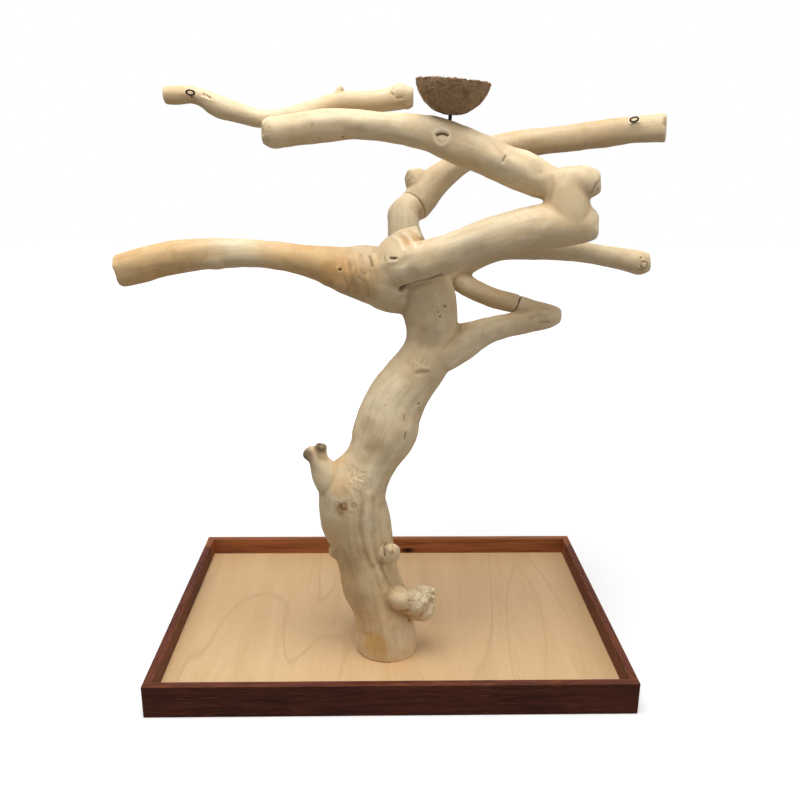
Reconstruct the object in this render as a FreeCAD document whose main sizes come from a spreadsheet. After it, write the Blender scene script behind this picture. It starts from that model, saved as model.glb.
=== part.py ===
import FreeCAD, Part
import math
import os
import Sketcher
from FreeCAD import Placement, Rotation, Vector

# A play stand for a parrot: a peeled hardwood tree, made of a trunk and six joined limbs, stands on
# a plywood tray with stained rails. Half a coconut shell on a steel stem is the food cup, and two
# screw eyes hold toys. Millimetres, +Z up, floor at Z = 0, the tray centred on X = Y = 0.
# The tree is drawn from the centre of its foot, on top of the tray's panel.

doc = FreeCAD.newDocument("ParrotPlayStand")

# ---------------------------------------------------------------- driving dimensions

SIZES = [
    # alias, value, what it is
    ("tray_length", 762, "outer length of the tray, left to right"),
    ("tray_width", 508, "outer width of the tray, front to back"),
    ("rail_height", 54, "height of the rails"),
    ("rail_thickness", 13, "thickness of the rails"),
    ("rail_edge_radius", 1, "eased edges of the rails"),
    ("panel_thickness", 18, "thickness of the plywood"),
    ("panel_lift", 3.6, "the plywood's underside above the floor"),
    ("foot_x", -8, "centre of the trunk's foot on the tray"),
    ("foot_y", -99, "centre of the trunk's foot on the tray"),
    ("brad_diameter", 1.6, "nails of the tray"),
    ("brad_length", 40, "nails of the tray"),
    ("brad_inset", 1, "how far a nail is punched below the rail's face"),
    ("corner_brad_pitch", 30, "between the two nails of a corner"),
    ("base_screw_diameter", 6, "shank of the screws under the trunk"),
    ("base_screw_head", 12, "head of the screws under the trunk"),
    ("base_screw_length", 75, "length of the screws under the trunk"),
    ("base_screw_circle", 54, "pitch circle of the screws under the trunk"),
    ("dowel_diameter", 8, "threaded dowels between the limbs"),
    ("dowel_length", 80, "threaded dowels between the limbs"),
    ("screw_diameter", 4, "shank of the joint screws"),
    ("screw_head", 8, "head of the joint screws"),
    ("screw_length", 50, "length of the joint screws"),
    ("screw_recess", 4, "depth of the hole over a joint screw's head"),
    ("stem_diameter", 6, "threaded stem of the cup"),
    ("stem_showing", 10, "stem between the wood and the shell"),
    ("stem_in_wood", 35, "stem screwed into the limb"),
    ("stem_past_nut", 2, "stem standing out of the flange nut"),
    ("stem_lean", 4, "lean of the stem to the right, in degrees"),
    ("thread_clearance", 0.05, "radial clearance of a turning thread"),
    ("cup_diameter", 110, "outer diameter of the coconut shell at its rim"),
    ("cup_depth", 46, "outer depth of the coconut shell"),
    ("cup_wall", 5, "thickness of the coconut shell"),
    ("cup_seat", 22, "flat at the bottom of the shell, inside and outside"),
    ("flange_diameter", 18, "flange of the cup's nut"),
    ("flange_thickness", 1.5, "flange of the cup's nut"),
    ("barrel_diameter", 9, "barrel of the cup's nut"),
    ("eye_wire", 2.8, "wire of the screw eyes"),
    ("eye_ring", 12, "screw eyes, from wire centre to wire centre"),
    ("eye_neck", 3, "between the wood and the screw eye's ring"),
    ("eye_in_wood", 15, "screw eye's shank in the wood"),
]

# Stations of the tree: the centre of each round section and its diameter. X and Y are measured from
# the centre of the foot, Z from the panel's top, and the sections follow each other along the limb.
TRUNK = [
    (0, 0, 0, 100),
    (-3, 2, 36, 104),
    (-13, 4, 85, 96),
    (-29, 7, 136, 98),
    (-41, 9, 195, 102),
    (-54, 8, 246, 112),
    (-54, 9, 290, 108),
    (-26, 15, 334, 84),
    (-5, 25, 376, 102),
    (14, 37, 427, 97),
    (60, 49, 493, 83),
    (70, 55, 536, 82),
    (64, 58, 583, 92),
    (42, 61, 625, 92),
    (18, 62, 650, 62),
]
COLLAR = [
    (38, 60, 600, 80),
    (8, 60, 616, 96),
    (-24, 60, 627, 90),
    (-66, 58, 634, 73),
]
SIDE_FORK = [
    (62, 50, 505, 80),
    (98, 55, 513, 72),
    (128, 58, 525, 56),
    (158, 62, 537, 44),
    (197, 67, 546, 40),
    (236, 71, 557, 44),
    (262, 74, 560, 38),
    (278, 76, 561, 24),
]
FORK_SPUR = [
    (209, 77, 579, 31),
    (236, 74, 570, 33),
    (262, 74, 562, 34),
]
REAR_STUB = [
    (38, 80, 600, 72),
    (33, 112, 648, 62),
    (29, 152, 684, 55),
    (28, 182, 710, 55),
    (44, 198, 724, 54),
]
BANDED_STUB = [
    (4, 58, 640, 66),
    (20, 46, 668, 56),
    (38, 41, 684, 42),
    (52, 39, 694, 26),
]
TWIN_STUB = [
    (-70, 2, 282, 66),
    (-92, -1, 308, 52),
    (-107, -4, 334, 37),
    (-114, -5, 348, 26),
]
OUTER_TWIN = [
    (-106, -8, 330, 27),
    (-119, -7, 353, 23),
    (-125, -8, 362, 17),
]
INNER_TWIN = [
    (-105, -1, 328, 26),
    (-105, -5, 358, 22),
    (-103, -5, 370, 17),
]
LEFT_LIMB = [
    (-82, 57, 638, 66),
    (-128, 55, 649, 48),
    (-182, 55, 658, 43),
    (-244, 57, 660, 46),
    (-306, 61, 656, 50),
    (-362, 65, 645, 53),
    (-420, 69, 631, 52),
]
MAIN_LIMB = [
    (-4, 58, 632, 48),
    (20, 30, 644, 64),
    (46, 8, 654, 62),
    (77, -4, 664, 59),
    (120, -11, 681, 55),
    (163, -13, 695, 58),
    (207, -13, 705, 64),
    (250, -13, 712, 66),
    (284, -13, 712, 56),
    (306, -13, 710, 36),
]
ELBOW = [
    (258, -13, 700, 56),
    (261, -12, 722, 66),
    (258, -10, 748, 64),
    (254, -7, 772, 52),
]
UPPER_KNOB = [
    (240, -8, 766, 44),
    (266, -9, 770, 50),
    (289, -9, 771, 46),
    (305, -9, 771, 30),
]
TOP_ARM = [
    (262, -6, 762, 58),
    (226, 3, 772, 51),
    (185, 13, 789, 57),
    (142, 25, 807, 55),
    (90, 41, 827, 54),
    (47, 53, 841, 48),
    (6, 63, 845, 44),
    (-35, 71, 850, 43),
    (-80, 77, 849, 49),
    (-133, 81, 844, 46),
    (-171, 83, 838, 46),
    (-190, 83, 838, 32),
]
BACK_BRANCH = [
    (-345, 131, 892, 27),
    (-312, 128, 893, 26),
    (-282, 125, 887, 27),
    (-256, 121, 874, 33),
    (-228, 117, 867, 29),
    (-194, 114, 859, 28),
    (-160, 113, 860, 31),
    (-122, 117, 870, 30),
    (-82, 122, 883, 31),
    (-43, 126, 886, 31),
    (-6, 128, 888, 33),
    (22, 129, 893, 35),
    (39, 129, 894, 25),
]
BACK_SPUR = [
    (-92, 122, 880, 22),
    (-78, 122, 896, 14),
    (-71, 122, 908, 8),
]
REAR_ARM = [
    (60, 205, 740, 56),
    (84, 209, 767, 51),
    (110, 203, 788, 43),
    (146, 192, 810, 42),
    (186, 183, 821, 43),
    (233, 173, 828, 44),
    (287, 157, 835, 42),
    (339, 141, 842, 42),
    (390, 126, 848, 42),
    (434, 111, 851, 44),
]
REAR_KNOB = [
    (66, 208, 744, 46),
    (50, 213, 766, 40),
    (42, 216, 781, 31),
]
LOWER_LIMB = [
    (74, 92, 618, 54),
    (118, 101, 639, 46),
    (151, 93, 656, 40),
    (181, 83, 666, 38),
    (225, 71, 668, 36),
    (269, 61, 668, 34),
    (315, 53, 663, 31),
    (353, 47, 657, 33),
    (387, 41, 651, 38),
    (405, 39, 652, 27),
]
BRACE = [
    (106, 99, 626, 42),
    (129, 95, 606, 34),
    (164, 87, 590, 33),
    (190, 81, 583, 32),
]
STATIONS = {
    "trunk": TRUNK,
    "collar": COLLAR,
    "side_fork": SIDE_FORK,
    "fork_spur": FORK_SPUR,
    "rear_stub": REAR_STUB,
    "banded_stub": BANDED_STUB,
    "twin_stub": TWIN_STUB,
    "outer_twin": OUTER_TWIN,
    "inner_twin": INNER_TWIN,
    "left_limb": LEFT_LIMB,
    "main_limb": MAIN_LIMB,
    "elbow": ELBOW,
    "upper_knob": UPPER_KNOB,
    "top_arm": TOP_ARM,
    "back_branch": BACK_BRANCH,
    "back_spur": BACK_SPUR,
    "rear_arm": REAR_ARM,
    "rear_knob": REAR_KNOB,
    "lower_limb": LOWER_LIMB,
    "brace": BRACE,
}

# Round burls and knots on the trunk: centre and radius, measured as the stations are. A burl is a
# dome that faces away from the trunk's centre line, and its profile is given in shares of its radius.
DOME = [
    # how far out, radius
    (-1, 0.9),
    (0.1, 1),
    (0.6, 0.8),
    (0.92, 0.4),
]
BURLS = [
    (24, -34, 110, 19),
    (50, -22, 98, 23),
    (62, -20, 82, 20),
    (66, -14, 106, 15),
    (4, -36, 190, 14),
    (-84, 2, 180, 13),
]


def fill_sheet(name, rows):
    """Writes rows of alias, value and meaning to a new spreadsheet."""
    sheet = doc.addObject("Spreadsheet::Sheet", name)
    for line, (alias, value, meaning) in enumerate(rows, start=1):
        sheet.set(f"A{line}", alias)
        sheet.set(f"B{line}", str(value))
        sheet.set(f"C{line}", meaning)
        sheet.setAlias(f"B{line}", alias)
    return sheet


def station_rows():
    rows = []
    for limb, stations in STATIONS.items():
        for index, numbers in enumerate(stations):
            for word, number in zip(("x", "y", "z", "girth"), numbers):
                rows.append((f"{limb}_{index}_{word}", number, f"{word} of station {index}"))
    return rows


def burl_rows():
    rows = []
    for index, numbers in enumerate(BURLS):
        for word, number in zip(("x", "y", "z", "radius"), numbers):
            rows.append((f"burl_{index}_{word}", number, f"{word} of burl {index}"))
    return rows


sizes = fill_sheet("Sizes", SIZES)
stations = fill_sheet("Stations", station_rows())
burls = fill_sheet("Burls", burl_rows())
doc.recompute()

# ---------------------------------------------------------------- helpers

TREE_X = "Sizes.foot_x"
TREE_Y = "Sizes.foot_y"
PANEL_TOP = "(Sizes.panel_lift + Sizes.panel_thickness)"


def bind(thing, **formulas):
    """Binds properties to formulas over the sheets; a name such as base_x stands for Placement.Base.x."""
    for name, formula in formulas.items():
        if name.startswith("base_"):
            name = "Placement.Base." + name[-1]
        thing.setExpression(name, formula)
    return thing


def size(alias):
    return float(getattr(sizes, alias))


def station(limb, index):
    """The centre of one station, from the centre of the foot."""
    count = len(STATIONS[limb])
    index = index % count
    return Vector(*(float(getattr(stations, f"{limb}_{index}_{axis}")) for axis in "xyz"))


def girth(limb, index):
    return float(getattr(stations, f"{limb}_{index}_girth"))


def tree_origin():
    """The centre of the foot, in the tray's frame."""
    return Vector(size("foot_x"), size("foot_y"), size("panel_lift") + size("panel_thickness"))


def facing(direction):
    """Turns +Z to a direction, and keeps local Y towards the back."""
    axis = Vector(direction).normalize()
    back = Vector(0, 1, 0)
    across = back.cross(axis).normalize()
    return Rotation(across, axis.cross(across), axis, "ZXY")


def heading(limb, index):
    """The limb's direction at one station."""
    last = len(STATIONS[limb]) - 1
    return station(limb, min(index + 1, last)) - station(limb, max(index - 1, 0))


def section(limb, index, direction):
    """One round section of a limb, square to its direction."""
    ring = doc.addObject("Part::Circle", f"{limb}_section_{index}")
    row = f"Stations.{limb}_{index}"
    ring.Placement.Rotation = facing(direction)
    return bind(
        ring,
        Radius=f"{row}_girth / 2",
        base_x=f"{TREE_X} + {row}_x",
        base_y=f"{TREE_Y} + {row}_y",
        base_z=f"{PANEL_TOP} + {row}_z",
    )


def sections(limb, upright_start=False):
    rings = []
    for index in range(len(STATIONS[limb])):
        direction = Vector(0, 0, 1) if upright_start and index == 0 else heading(limb, index)
        rings.append(section(limb, index, direction))
    return rings


def loft(name, rings):
    """A smooth solid through round sections."""
    solid = doc.addObject("Part::Loft", name + "_wood")
    solid.Sections = rings
    solid.Solid = True
    solid.Ruled = False
    solid.MaxDegree = 2
    return solid


def grown(limb):
    return loft(limb, sections(limb))


def fuse(name, parts):
    joined = doc.addObject("Part::MultiFuse", name)
    joined.Shapes = parts
    return joined


def cut(label, base, tool):
    """The base without the tool, under the label of a finished piece."""
    piece = doc.addObject("Part::Cut", label + "_cut")
    piece.Base = base
    piece.Tool = tool
    piece.Label = label
    return piece


def compound(label, parts):
    group = doc.addObject("Part::Compound", label + "_group")
    group.Links = parts
    group.Label = label
    return group


def cylinder(name, radius, height):
    return bind(doc.addObject("Part::Cylinder", name), Radius=radius, Height=height)


def placed(thing, start, direction):
    """Puts a piece drawn along +Z at a start point, in the tray's frame, along a direction."""
    turn = Rotation(Vector(0, 0, 1), direction)
    thing.Placement = Placement(start, turn)
    return thing


# ---------------------------------------------------------------- the tray


def box(name, length, width, height, x, y, z):
    block = doc.addObject("Part::Box", name)
    return bind(block, Length=length, Width=width, Height=height, base_x=x, base_y=y, base_z=z)


def eased(name, block):
    """Rounds the long edges of a rail, which lie level."""
    block.recompute()
    rounding = doc.addObject("Part::Fillet", name)
    rounding.Base = block
    radius = size("rail_edge_radius")
    longest = max(edge.Length for edge in block.Shape.Edges)
    rounding.Edges = [
        (number, radius, radius)
        for number, edge in enumerate(block.Shape.Edges, start=1)
        if edge.Length > longest - 1
    ]
    return rounding


LONG = "Sizes.tray_length"
WIDE = "Sizes.tray_width"
THICK = "Sizes.rail_thickness"
HIGH = "Sizes.rail_height"


def rails():
    """Front and back rails run the full length, and the side rails butt between them."""
    side = f"{WIDE} - 2 * {THICK}"
    plans = {
        "tray_rail_front": (LONG, THICK, f"-{LONG} / 2", f"-{WIDE} / 2"),
        "tray_rail_back": (LONG, THICK, f"-{LONG} / 2", f"{WIDE} / 2 - {THICK}"),
        "tray_rail_left": (THICK, side, f"-{LONG} / 2", f"-({side}) / 2"),
        "tray_rail_right": (THICK, side, f"{LONG} / 2 - {THICK}", f"-({side}) / 2"),
    }
    made = {}
    for name, (length, width, x, y) in plans.items():
        block = box(name + "_block", length, width, HIGH, x, y, "0")
        made[name] = eased(name + "_eased", block)
    return made


def panel():
    return box(
        "panel_block",
        f"{LONG} - 2 * {THICK}",
        f"{WIDE} - 2 * {THICK}",
        "Sizes.panel_thickness",
        f"-{LONG} / 2 + {THICK}",
        f"-{WIDE} / 2 + {THICK}",
        "Sizes.panel_lift",
    )


def brad(name, start, inward):
    nail = cylinder(name, "Sizes.brad_diameter / 2", "Sizes.brad_length")
    return placed(nail, start + inward * size("brad_inset"), inward)


def corner_brads():
    """Two nails at each corner, through the long rail into the end of the side rail."""
    half_length = (size("tray_length") - size("rail_thickness")) / 2
    half_width = size("tray_width") / 2
    middle = size("rail_height") / 2
    reach = size("corner_brad_pitch") / 2
    nails = []
    for x in (-half_length, half_length):
        for side in (-1, 1):
            for z in (middle - reach, middle + reach):
                start = Vector(x, side * half_width, z)
                nails.append(brad(f"corner_brad_{len(nails)}", start, Vector(0, -side, 0)))
    return nails


def panel_brads():
    """Nails through the rails into the panel's edges: four along each long rail, three on each side."""
    z = size("panel_lift") + size("panel_thickness") / 2
    half_length = size("tray_length") / 2
    half_width = size("tray_width") / 2
    nails = []
    for side in (-1, 1):
        for share in (-0.75, -0.25, 0.25, 0.75):
            start = Vector(share * half_length, side * half_width, z)
            nails.append(brad(f"panel_brad_{len(nails)}", start, Vector(0, -side, 0)))
        for share in (-0.6, 0, 0.6):
            start = Vector(side * half_length, share * half_width, z)
            nails.append(brad(f"panel_brad_{len(nails)}", start, Vector(-side, 0, 0)))
    return nails


# ---------------------------------------------------------------- fasteners of the tree


def countersunk_screw(name, start, direction, shank, head, length):
    """A wood screw with a flat countersunk head, its head's face at the start point."""
    cone = bind(
        doc.addObject("Part::Cone", name + "_head"),
        Radius1=f"{head} / 2",
        Radius2=f"{shank} / 2",
        Height=f"({head} - {shank}) / 2",
    )
    rod = cylinder(name + "_shank", f"{shank} / 2", length)
    placed(cone, start, direction)
    placed(rod, start, direction)
    return fuse(name, [cone, rod])


def base_screws():
    """Four screws on a circle, from under the panel up into the trunk's foot."""
    count = 4
    radius = size("base_screw_circle") / 2
    under = tree_origin() - Vector(0, 0, size("panel_thickness"))
    made = []
    for index in range(count):
        angle = 2 * math.pi * (index + 0.5) / count
        start = under + Vector(radius * math.cos(angle), radius * math.sin(angle), 0)
        made.append(
            countersunk_screw(
                f"base_screw_{index}",
                start,
                Vector(0, 0, 1),
                "Sizes.base_screw_diameter",
                "Sizes.base_screw_head",
                "Sizes.base_screw_length",
            )
        )
    return made


def joint_dowel(name, seat, direction):
    """A threaded dowel, half in each of the two limbs that meet at the seat."""
    rod = cylinder(name, "Sizes.dowel_diameter / 2", "Sizes.dowel_length")
    along = Vector(direction).normalize()
    return placed(rod, tree_origin() + seat - along * (size("dowel_length") / 2), along)


def joint_screw(name, head, direction):
    """A recessed screw and the hole over its head."""
    along = Vector(direction).normalize()
    start = tree_origin() + head
    shaft = countersunk_screw(
        name, start, along, "Sizes.screw_diameter", "Sizes.screw_head", "Sizes.screw_length"
    )
    recess = cylinder(name + "_recess", "Sizes.screw_head / 2", "5 * Sizes.screw_recess")
    placed(recess, start, -along)
    return shaft, recess


def between(limb, index, share):
    """A point on a limb's centre line, a share of the way from one station to the next."""
    first = station(limb, index)
    return first + (station(limb, index + 1) - first) * share


def sunk(limb, index, share, outward):
    """The place of a screw's head: under the limb's surface on the side that faces outward."""
    radius = (girth(limb, index) * (1 - share) + girth(limb, index + 1) * share) / 2
    depth = radius - size("screw_recess")
    return between(limb, index, share) + Vector(outward).normalize() * depth


# ---------------------------------------------------------------- cup and screw eyes


def stem_frame():
    """The place where the cup's stem leaves the wood, and its lean to the right."""
    lean = math.radians(size("stem_lean"))
    axis = Vector(math.sin(lean), 0, math.cos(lean))
    top = station("top_arm", 4) + Vector(0, 0, girth("top_arm", 4) / 2)
    return tree_origin() + top, axis


def cup_stem():
    foot, axis = stem_frame()
    length = (
        "Sizes.stem_in_wood + Sizes.stem_showing + Sizes.cup_wall"
        " + Sizes.flange_thickness + Sizes.stem_past_nut"
    )
    stem = cylinder("cup_stem", "Sizes.stem_diameter / 2", length)
    return placed(stem, foot - axis * size("stem_in_wood"), axis)


def shell_sketch(body):
    """Half of the bowl's outline: flats at the bottom, and two arcs centred on the axis, up to the rim."""
    radius = size("cup_diameter") / 2
    depth = size("cup_depth")
    wall = size("cup_wall")
    seat = size("cup_seat") / 2
    bore = size("barrel_diameter") / 2
    rim = "Sizes.cup_diameter / 2"
    corners = [
        (bore, 0, "Sizes.barrel_diameter / 2", "0"),
        (seat, 0, "Sizes.cup_seat / 2", "0"),
        (radius, depth, rim, "Sizes.cup_depth"),
        (radius - wall, depth, rim + " - Sizes.cup_wall", "Sizes.cup_depth"),
        (seat, wall, "Sizes.cup_seat / 2", "Sizes.cup_wall"),
        (bore, wall, "Sizes.barrel_diameter / 2", "Sizes.cup_wall"),
    ]
    sketch = body.newObject("Sketcher::SketchObject", "shell_outline")
    upright = [plane for plane in body.Origin.OriginFeatures if plane.Role == "XZ_Plane"][0]
    sketch.AttachmentSupport = [(upright, "")]
    sketch.MapMode = "FlatFace"
    points = [Vector(x, y, 0) for x, y, across, up in corners]
    for index, start in enumerate(points):
        end = points[(index + 1) % len(points)]
        if index in (1, 3):
            sketch.addGeometry(bowl_arc(start, end))
        else:
            sketch.addGeometry(Part.LineSegment(start, end))
    starts = [1, 1, 1, 2, 1, 1]
    ends = [2, 2, 2, 1, 2, 2]
    for index in range(len(points)):
        following = (index + 1) % len(points)
        sketch.addConstraint(
            Sketcher.Constraint("Coincident", index, ends[index], following, starts[following])
        )
    for index in (1, 3):
        sketch.addConstraint(Sketcher.Constraint("PointOnObject", index, 3, -2))
    for index, (x, y, across, up) in enumerate(corners):
        corner = (index, starts[index])
        number = sketch.addConstraint(Sketcher.Constraint("DistanceX", -1, 1, *corner, x))
        sketch.setExpression(f"Constraints[{number}]", across)
        if y == 0:
            sketch.addConstraint(Sketcher.Constraint("PointOnObject", *corner, -1))
        else:
            number = sketch.addConstraint(Sketcher.Constraint("DistanceY", -1, 1, *corner, y))
            sketch.setExpression(f"Constraints[{number}]", up)
    return sketch


def bowl_arc(start, end):
    """The arc from one point to another with its centre on the bowl's axis, counterclockwise."""
    low, high = sorted((start, end), key=lambda point: point.y)
    height = (high.x**2 + high.y**2 - low.x**2 - low.y**2) / (2 * (high.y - low.y))
    centre = Vector(0, height, 0)
    radius = (low - centre).Length
    first = math.atan2(low.y - height, low.x)
    last = math.atan2(high.y - height, high.x)
    return Part.ArcOfCircle(Part.Circle(centre, Vector(0, 0, 1), radius), first, last)


def cup_shell():
    """Half a coconut shell: a bowl with a flat at its bottom, bored for the flange nut."""
    body = doc.addObject("PartDesign::Body", "coconut_shell")
    sketch = shell_sketch(body)
    turned = body.newObject("PartDesign::Revolution", "shell_turned")
    turned.Profile = sketch
    turned.ReferenceAxis = (sketch, ["V_Axis"])
    turned.Angle = 360
    body.Label = "coconut_cup"
    foot, axis = stem_frame()
    return placed(body, foot + axis * size("stem_showing"), axis)


def flange_nut():
    """The cup's threaded nut: a barrel in the shell's bottom under a round flange."""
    foot, axis = stem_frame()
    bottom = foot + axis * size("stem_showing")
    seat = bottom + axis * size("cup_wall")
    barrel = placed(
        cylinder("nut_barrel", "Sizes.barrel_diameter / 2", "Sizes.cup_wall"), bottom, axis
    )
    flange = placed(
        cylinder("nut_flange", "Sizes.flange_diameter / 2", "Sizes.flange_thickness"), seat, axis
    )
    height = "Sizes.cup_wall + Sizes.flange_thickness"
    bore = cylinder("nut_bore", "Sizes.stem_diameter / 2 + Sizes.thread_clearance", height)
    placed(bore, bottom, axis)
    return cut("cup_flange_nut", fuse("nut_blank", [barrel, flange]), bore)


def screw_eye(label, foot, direction):
    """A ring of wire on a shank. Returns the eye and the bore that its shank turns in."""
    along = Vector(direction).normalize()
    start = tree_origin() + foot
    ring_radius = size("eye_ring") / 2
    ring = bind(
        doc.addObject("Part::Torus", label + "_ring"),
        Radius1="Sizes.eye_ring / 2",
        Radius2="Sizes.eye_wire / 2",
    )
    across = Vector(1, 0, 0)
    normal = along.cross(across).normalize()
    centre = start + along * (size("eye_neck") + ring_radius)
    ring.Placement = Placement(centre, Rotation(Vector(0, 0, 1), normal))
    shank = cylinder(label + "_shank", "Sizes.eye_wire / 2", "Sizes.eye_in_wood + Sizes.eye_neck")
    placed(shank, start - along * size("eye_in_wood"), along)
    eye = fuse(label + "_wire", [ring, shank])
    eye.Label = label
    bore = cylinder(
        label + "_bore", "Sizes.eye_wire / 2 + Sizes.thread_clearance", "2 * Sizes.eye_in_wood"
    )
    placed(bore, start - along * size("eye_in_wood"), along)
    return eye, bore


# ---------------------------------------------------------------- the stand


def trunk_line(height):
    """The trunk's centre line at a height above the panel."""
    above = next(i for i in range(len(TRUNK)) if station("trunk", i).z > height)
    low = station("trunk", above - 1)
    high = station("trunk", above)
    return low + (high - low) * ((height - low.z) / (high.z - low.z))


def burl(index):
    """A rounded knob that grows out of the trunk."""
    row = f"Burls.burl_{index}"
    centre = Vector(*(float(getattr(burls, f"burl_{index}_{axis}")) for axis in "xyz"))
    outward = centre - trunk_line(centre.z)
    outward = Vector(outward.x, outward.y, 0).normalize()
    rings = []
    for number, (reach, share) in enumerate(DOME):
        ring = doc.addObject("Part::Circle", f"burl_{index}_section_{number}")
        ring.Placement.Rotation = facing(outward)
        bind(
            ring,
            Radius=f"{row}_radius * {share}",
            base_x=f"{TREE_X} + {row}_x + {row}_radius * {reach * outward.x}",
            base_y=f"{TREE_Y} + {row}_y + {row}_radius * {reach * outward.y}",
            base_z=f"{PANEL_TOP} + {row}_z",
        )
        rings.append(ring)
    return loft(f"burl_{index}", rings)


def build_tray():
    corners = corner_brads()
    edges = panel_brads()
    screws = base_screws()
    made = [
        compound("corner_brads", corners),
        compound("panel_brads", edges),
        compound("base_screws", screws),
    ]
    nails = fuse("nail_holes", corners + edges)
    for name, rail in rails().items():
        made.append(cut(name, rail, nails))
    made.append(cut("tray_panel", panel(), fuse("panel_holes", edges + screws)))
    return made, screws


def trunk_growth():
    """The trunk with all that grew on it, and the sawn ends that other limbs are joined to."""
    rings = {limb: sections(limb) for limb in ("collar", "rear_stub", "fork_spur")}
    growths = [loft("trunk", sections("trunk", upright_start=True))]
    growths.extend(loft(limb, limb_rings) for limb, limb_rings in rings.items())
    for limb in ("side_fork", "banded_stub", "twin_stub", "outer_twin", "inner_twin"):
        growths.append(grown(limb))
    growths.extend(burl(index) for index in range(len(BURLS)))
    ends = {
        "collar": rings["collar"][-1],
        "rear_stub": rings["rear_stub"][-1],
        "fork_spur": rings["fork_spur"][0],
    }
    return fuse("trunk_growth", growths), ends


def joined_limbs():
    """The trunk and the limbs, each cut to its seat. A limb on a sawn end shares that section."""
    trunk, ends = trunk_growth()
    left = loft("left_limb", [ends["collar"]] + sections("left_limb"))
    main = fuse("main_growth", [grown("main_limb"), grown("elbow"), grown("upper_knob")])
    top = cut("top_seated", grown("top_arm"), main)
    back = fuse("back_growth", [grown("back_branch"), grown("back_spur")])
    rear_arm = loft("rear_arm", [ends["rear_stub"]] + sections("rear_arm"))
    rear = fuse("rear_growth", [rear_arm, grown("rear_knob")])
    brace = loft("brace", sections("brace") + [ends["fork_spur"]])
    fork = fuse("fork_growth", [grown("lower_limb"), brace])
    return {
        "trunk": trunk,
        "left_limb": left,
        "main_limb": cut("main_seated", main, trunk),
        "top_arm": top,
        "back_branch": cut("back_seated", back, top),
        "rear_arm": cut("rear_seated", rear, trunk),
        "rear_fork": cut("fork_seated", fork, trunk),
    }


def limb_dowels():
    return [
        joint_dowel("left_dowel", station("collar", -1), heading("collar", 3)),
        joint_dowel("main_dowel", between("main_limb", 1, 0.6), heading("main_limb", 1)),
        joint_dowel("top_dowel", station("top_arm", 1), heading("top_arm", 1)),
        joint_dowel("rear_dowel", station("rear_stub", -1), heading("rear_stub", 4)),
        joint_dowel("fork_dowel", between("lower_limb", 0, 0.5), heading("lower_limb", 0)),
        joint_dowel("brace_dowel", station("fork_spur", 0), heading("fork_spur", 0)),
    ]


def limb_screws():
    """Screws across the joints, each with the recess over its head."""
    front = Vector(0, -1, 0)
    back_up = Vector(0, 0.87, 0.5)
    return [
        joint_screw("left_screw", sunk("left_limb", 0, 0.1, front), Vector(0.75, 0.66, 0)),
        joint_screw(
            "upper_main_screw", sunk("main_limb", 1, 0.1, Vector(0, -1, 0.5)), Vector(0, 1, -0.1)
        ),
        joint_screw(
            "lower_main_screw",
            sunk("main_limb", 1, 0.7, Vector(0, -1, -0.6)),
            Vector(-0.1, 1, -0.25),
        ),
        joint_screw(
            "top_screw", sunk("top_arm", 1, 0.25, Vector(0, -0.9, 0.45)), Vector(0.7, 0.1, -0.7)
        ),
        joint_screw("inner_back_screw", sunk("back_branch", 6, 0, back_up), -back_up),
        joint_screw("outer_back_screw", sunk("back_branch", 5, 0.4, back_up), -back_up),
    ]


def build_tree(base_screw_parts):
    wood = joined_limbs()
    dowels = limb_dowels()
    driven = limb_screws()
    screws = [shaft for shaft, recess in driven]
    recesses = [recess for shaft, recess in driven]
    stem = cup_stem()
    left_foot = between("back_branch", 1, 0.4) + Vector(0, -1, 0) * (girth("back_branch", 1) / 2)
    right_foot = between("rear_arm", 7, 0.88) + Vector(0, -0.85, 0.53) * (girth("rear_arm", 7) / 2)
    eye_left, left_bore = screw_eye("eye_left", left_foot, Vector(0, -0.87, 0.5))
    eye_right, right_bore = screw_eye("eye_right", right_foot, Vector(-0.35, -0.8, 0.48))
    holes = fuse("joint_holes", dowels + screws + recesses)
    bores = {
        "trunk": base_screw_parts,
        "top_arm": [stem],
        "back_branch": [left_bore],
        "rear_arm": [right_bore],
    }
    made = []
    for name, piece in wood.items():
        tool = holes
        if name in bores:
            tool = fuse(name + "_holes", [holes] + bores[name])
        made.append(cut(name, piece, tool))
    made.append(compound("joint_dowels", dowels))
    made.append(compound("joint_screws", screws))
    return made + [stem, cup_shell(), flange_nut(), eye_left, eye_right]


def check_document():
    """Stops on any object that failed or is invalid."""
    for thing in doc.Objects:
        if "Invalid" in thing.State or "Error" in thing.State:
            raise RuntimeError(f"{thing.Label} failed: {thing.State}")


def write_pieces(pieces):
    os.makedirs("parts", exist_ok=True)
    for piece in pieces:
        shape = piece.Shape
        if shape.isNull() or not shape.isValid():
            raise RuntimeError(f"{piece.Label} has no valid shape")
        shape.exportStep(f"parts/{piece.Label}.step")
        print(f"{piece.Label}: {len(shape.Solids)} solids, {shape.Volume / 1000:.1f} cm3")


tray, foot_screws = build_tray()
pieces = tray + build_tree(foot_screws)
doc.recompute()
check_document()
write_pieces(pieces)
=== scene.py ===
import math

import bmesh
import bpy
import numpy as np
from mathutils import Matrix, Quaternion, Vector, noise
from mathutils.bvhtree import BVHTree


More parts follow.
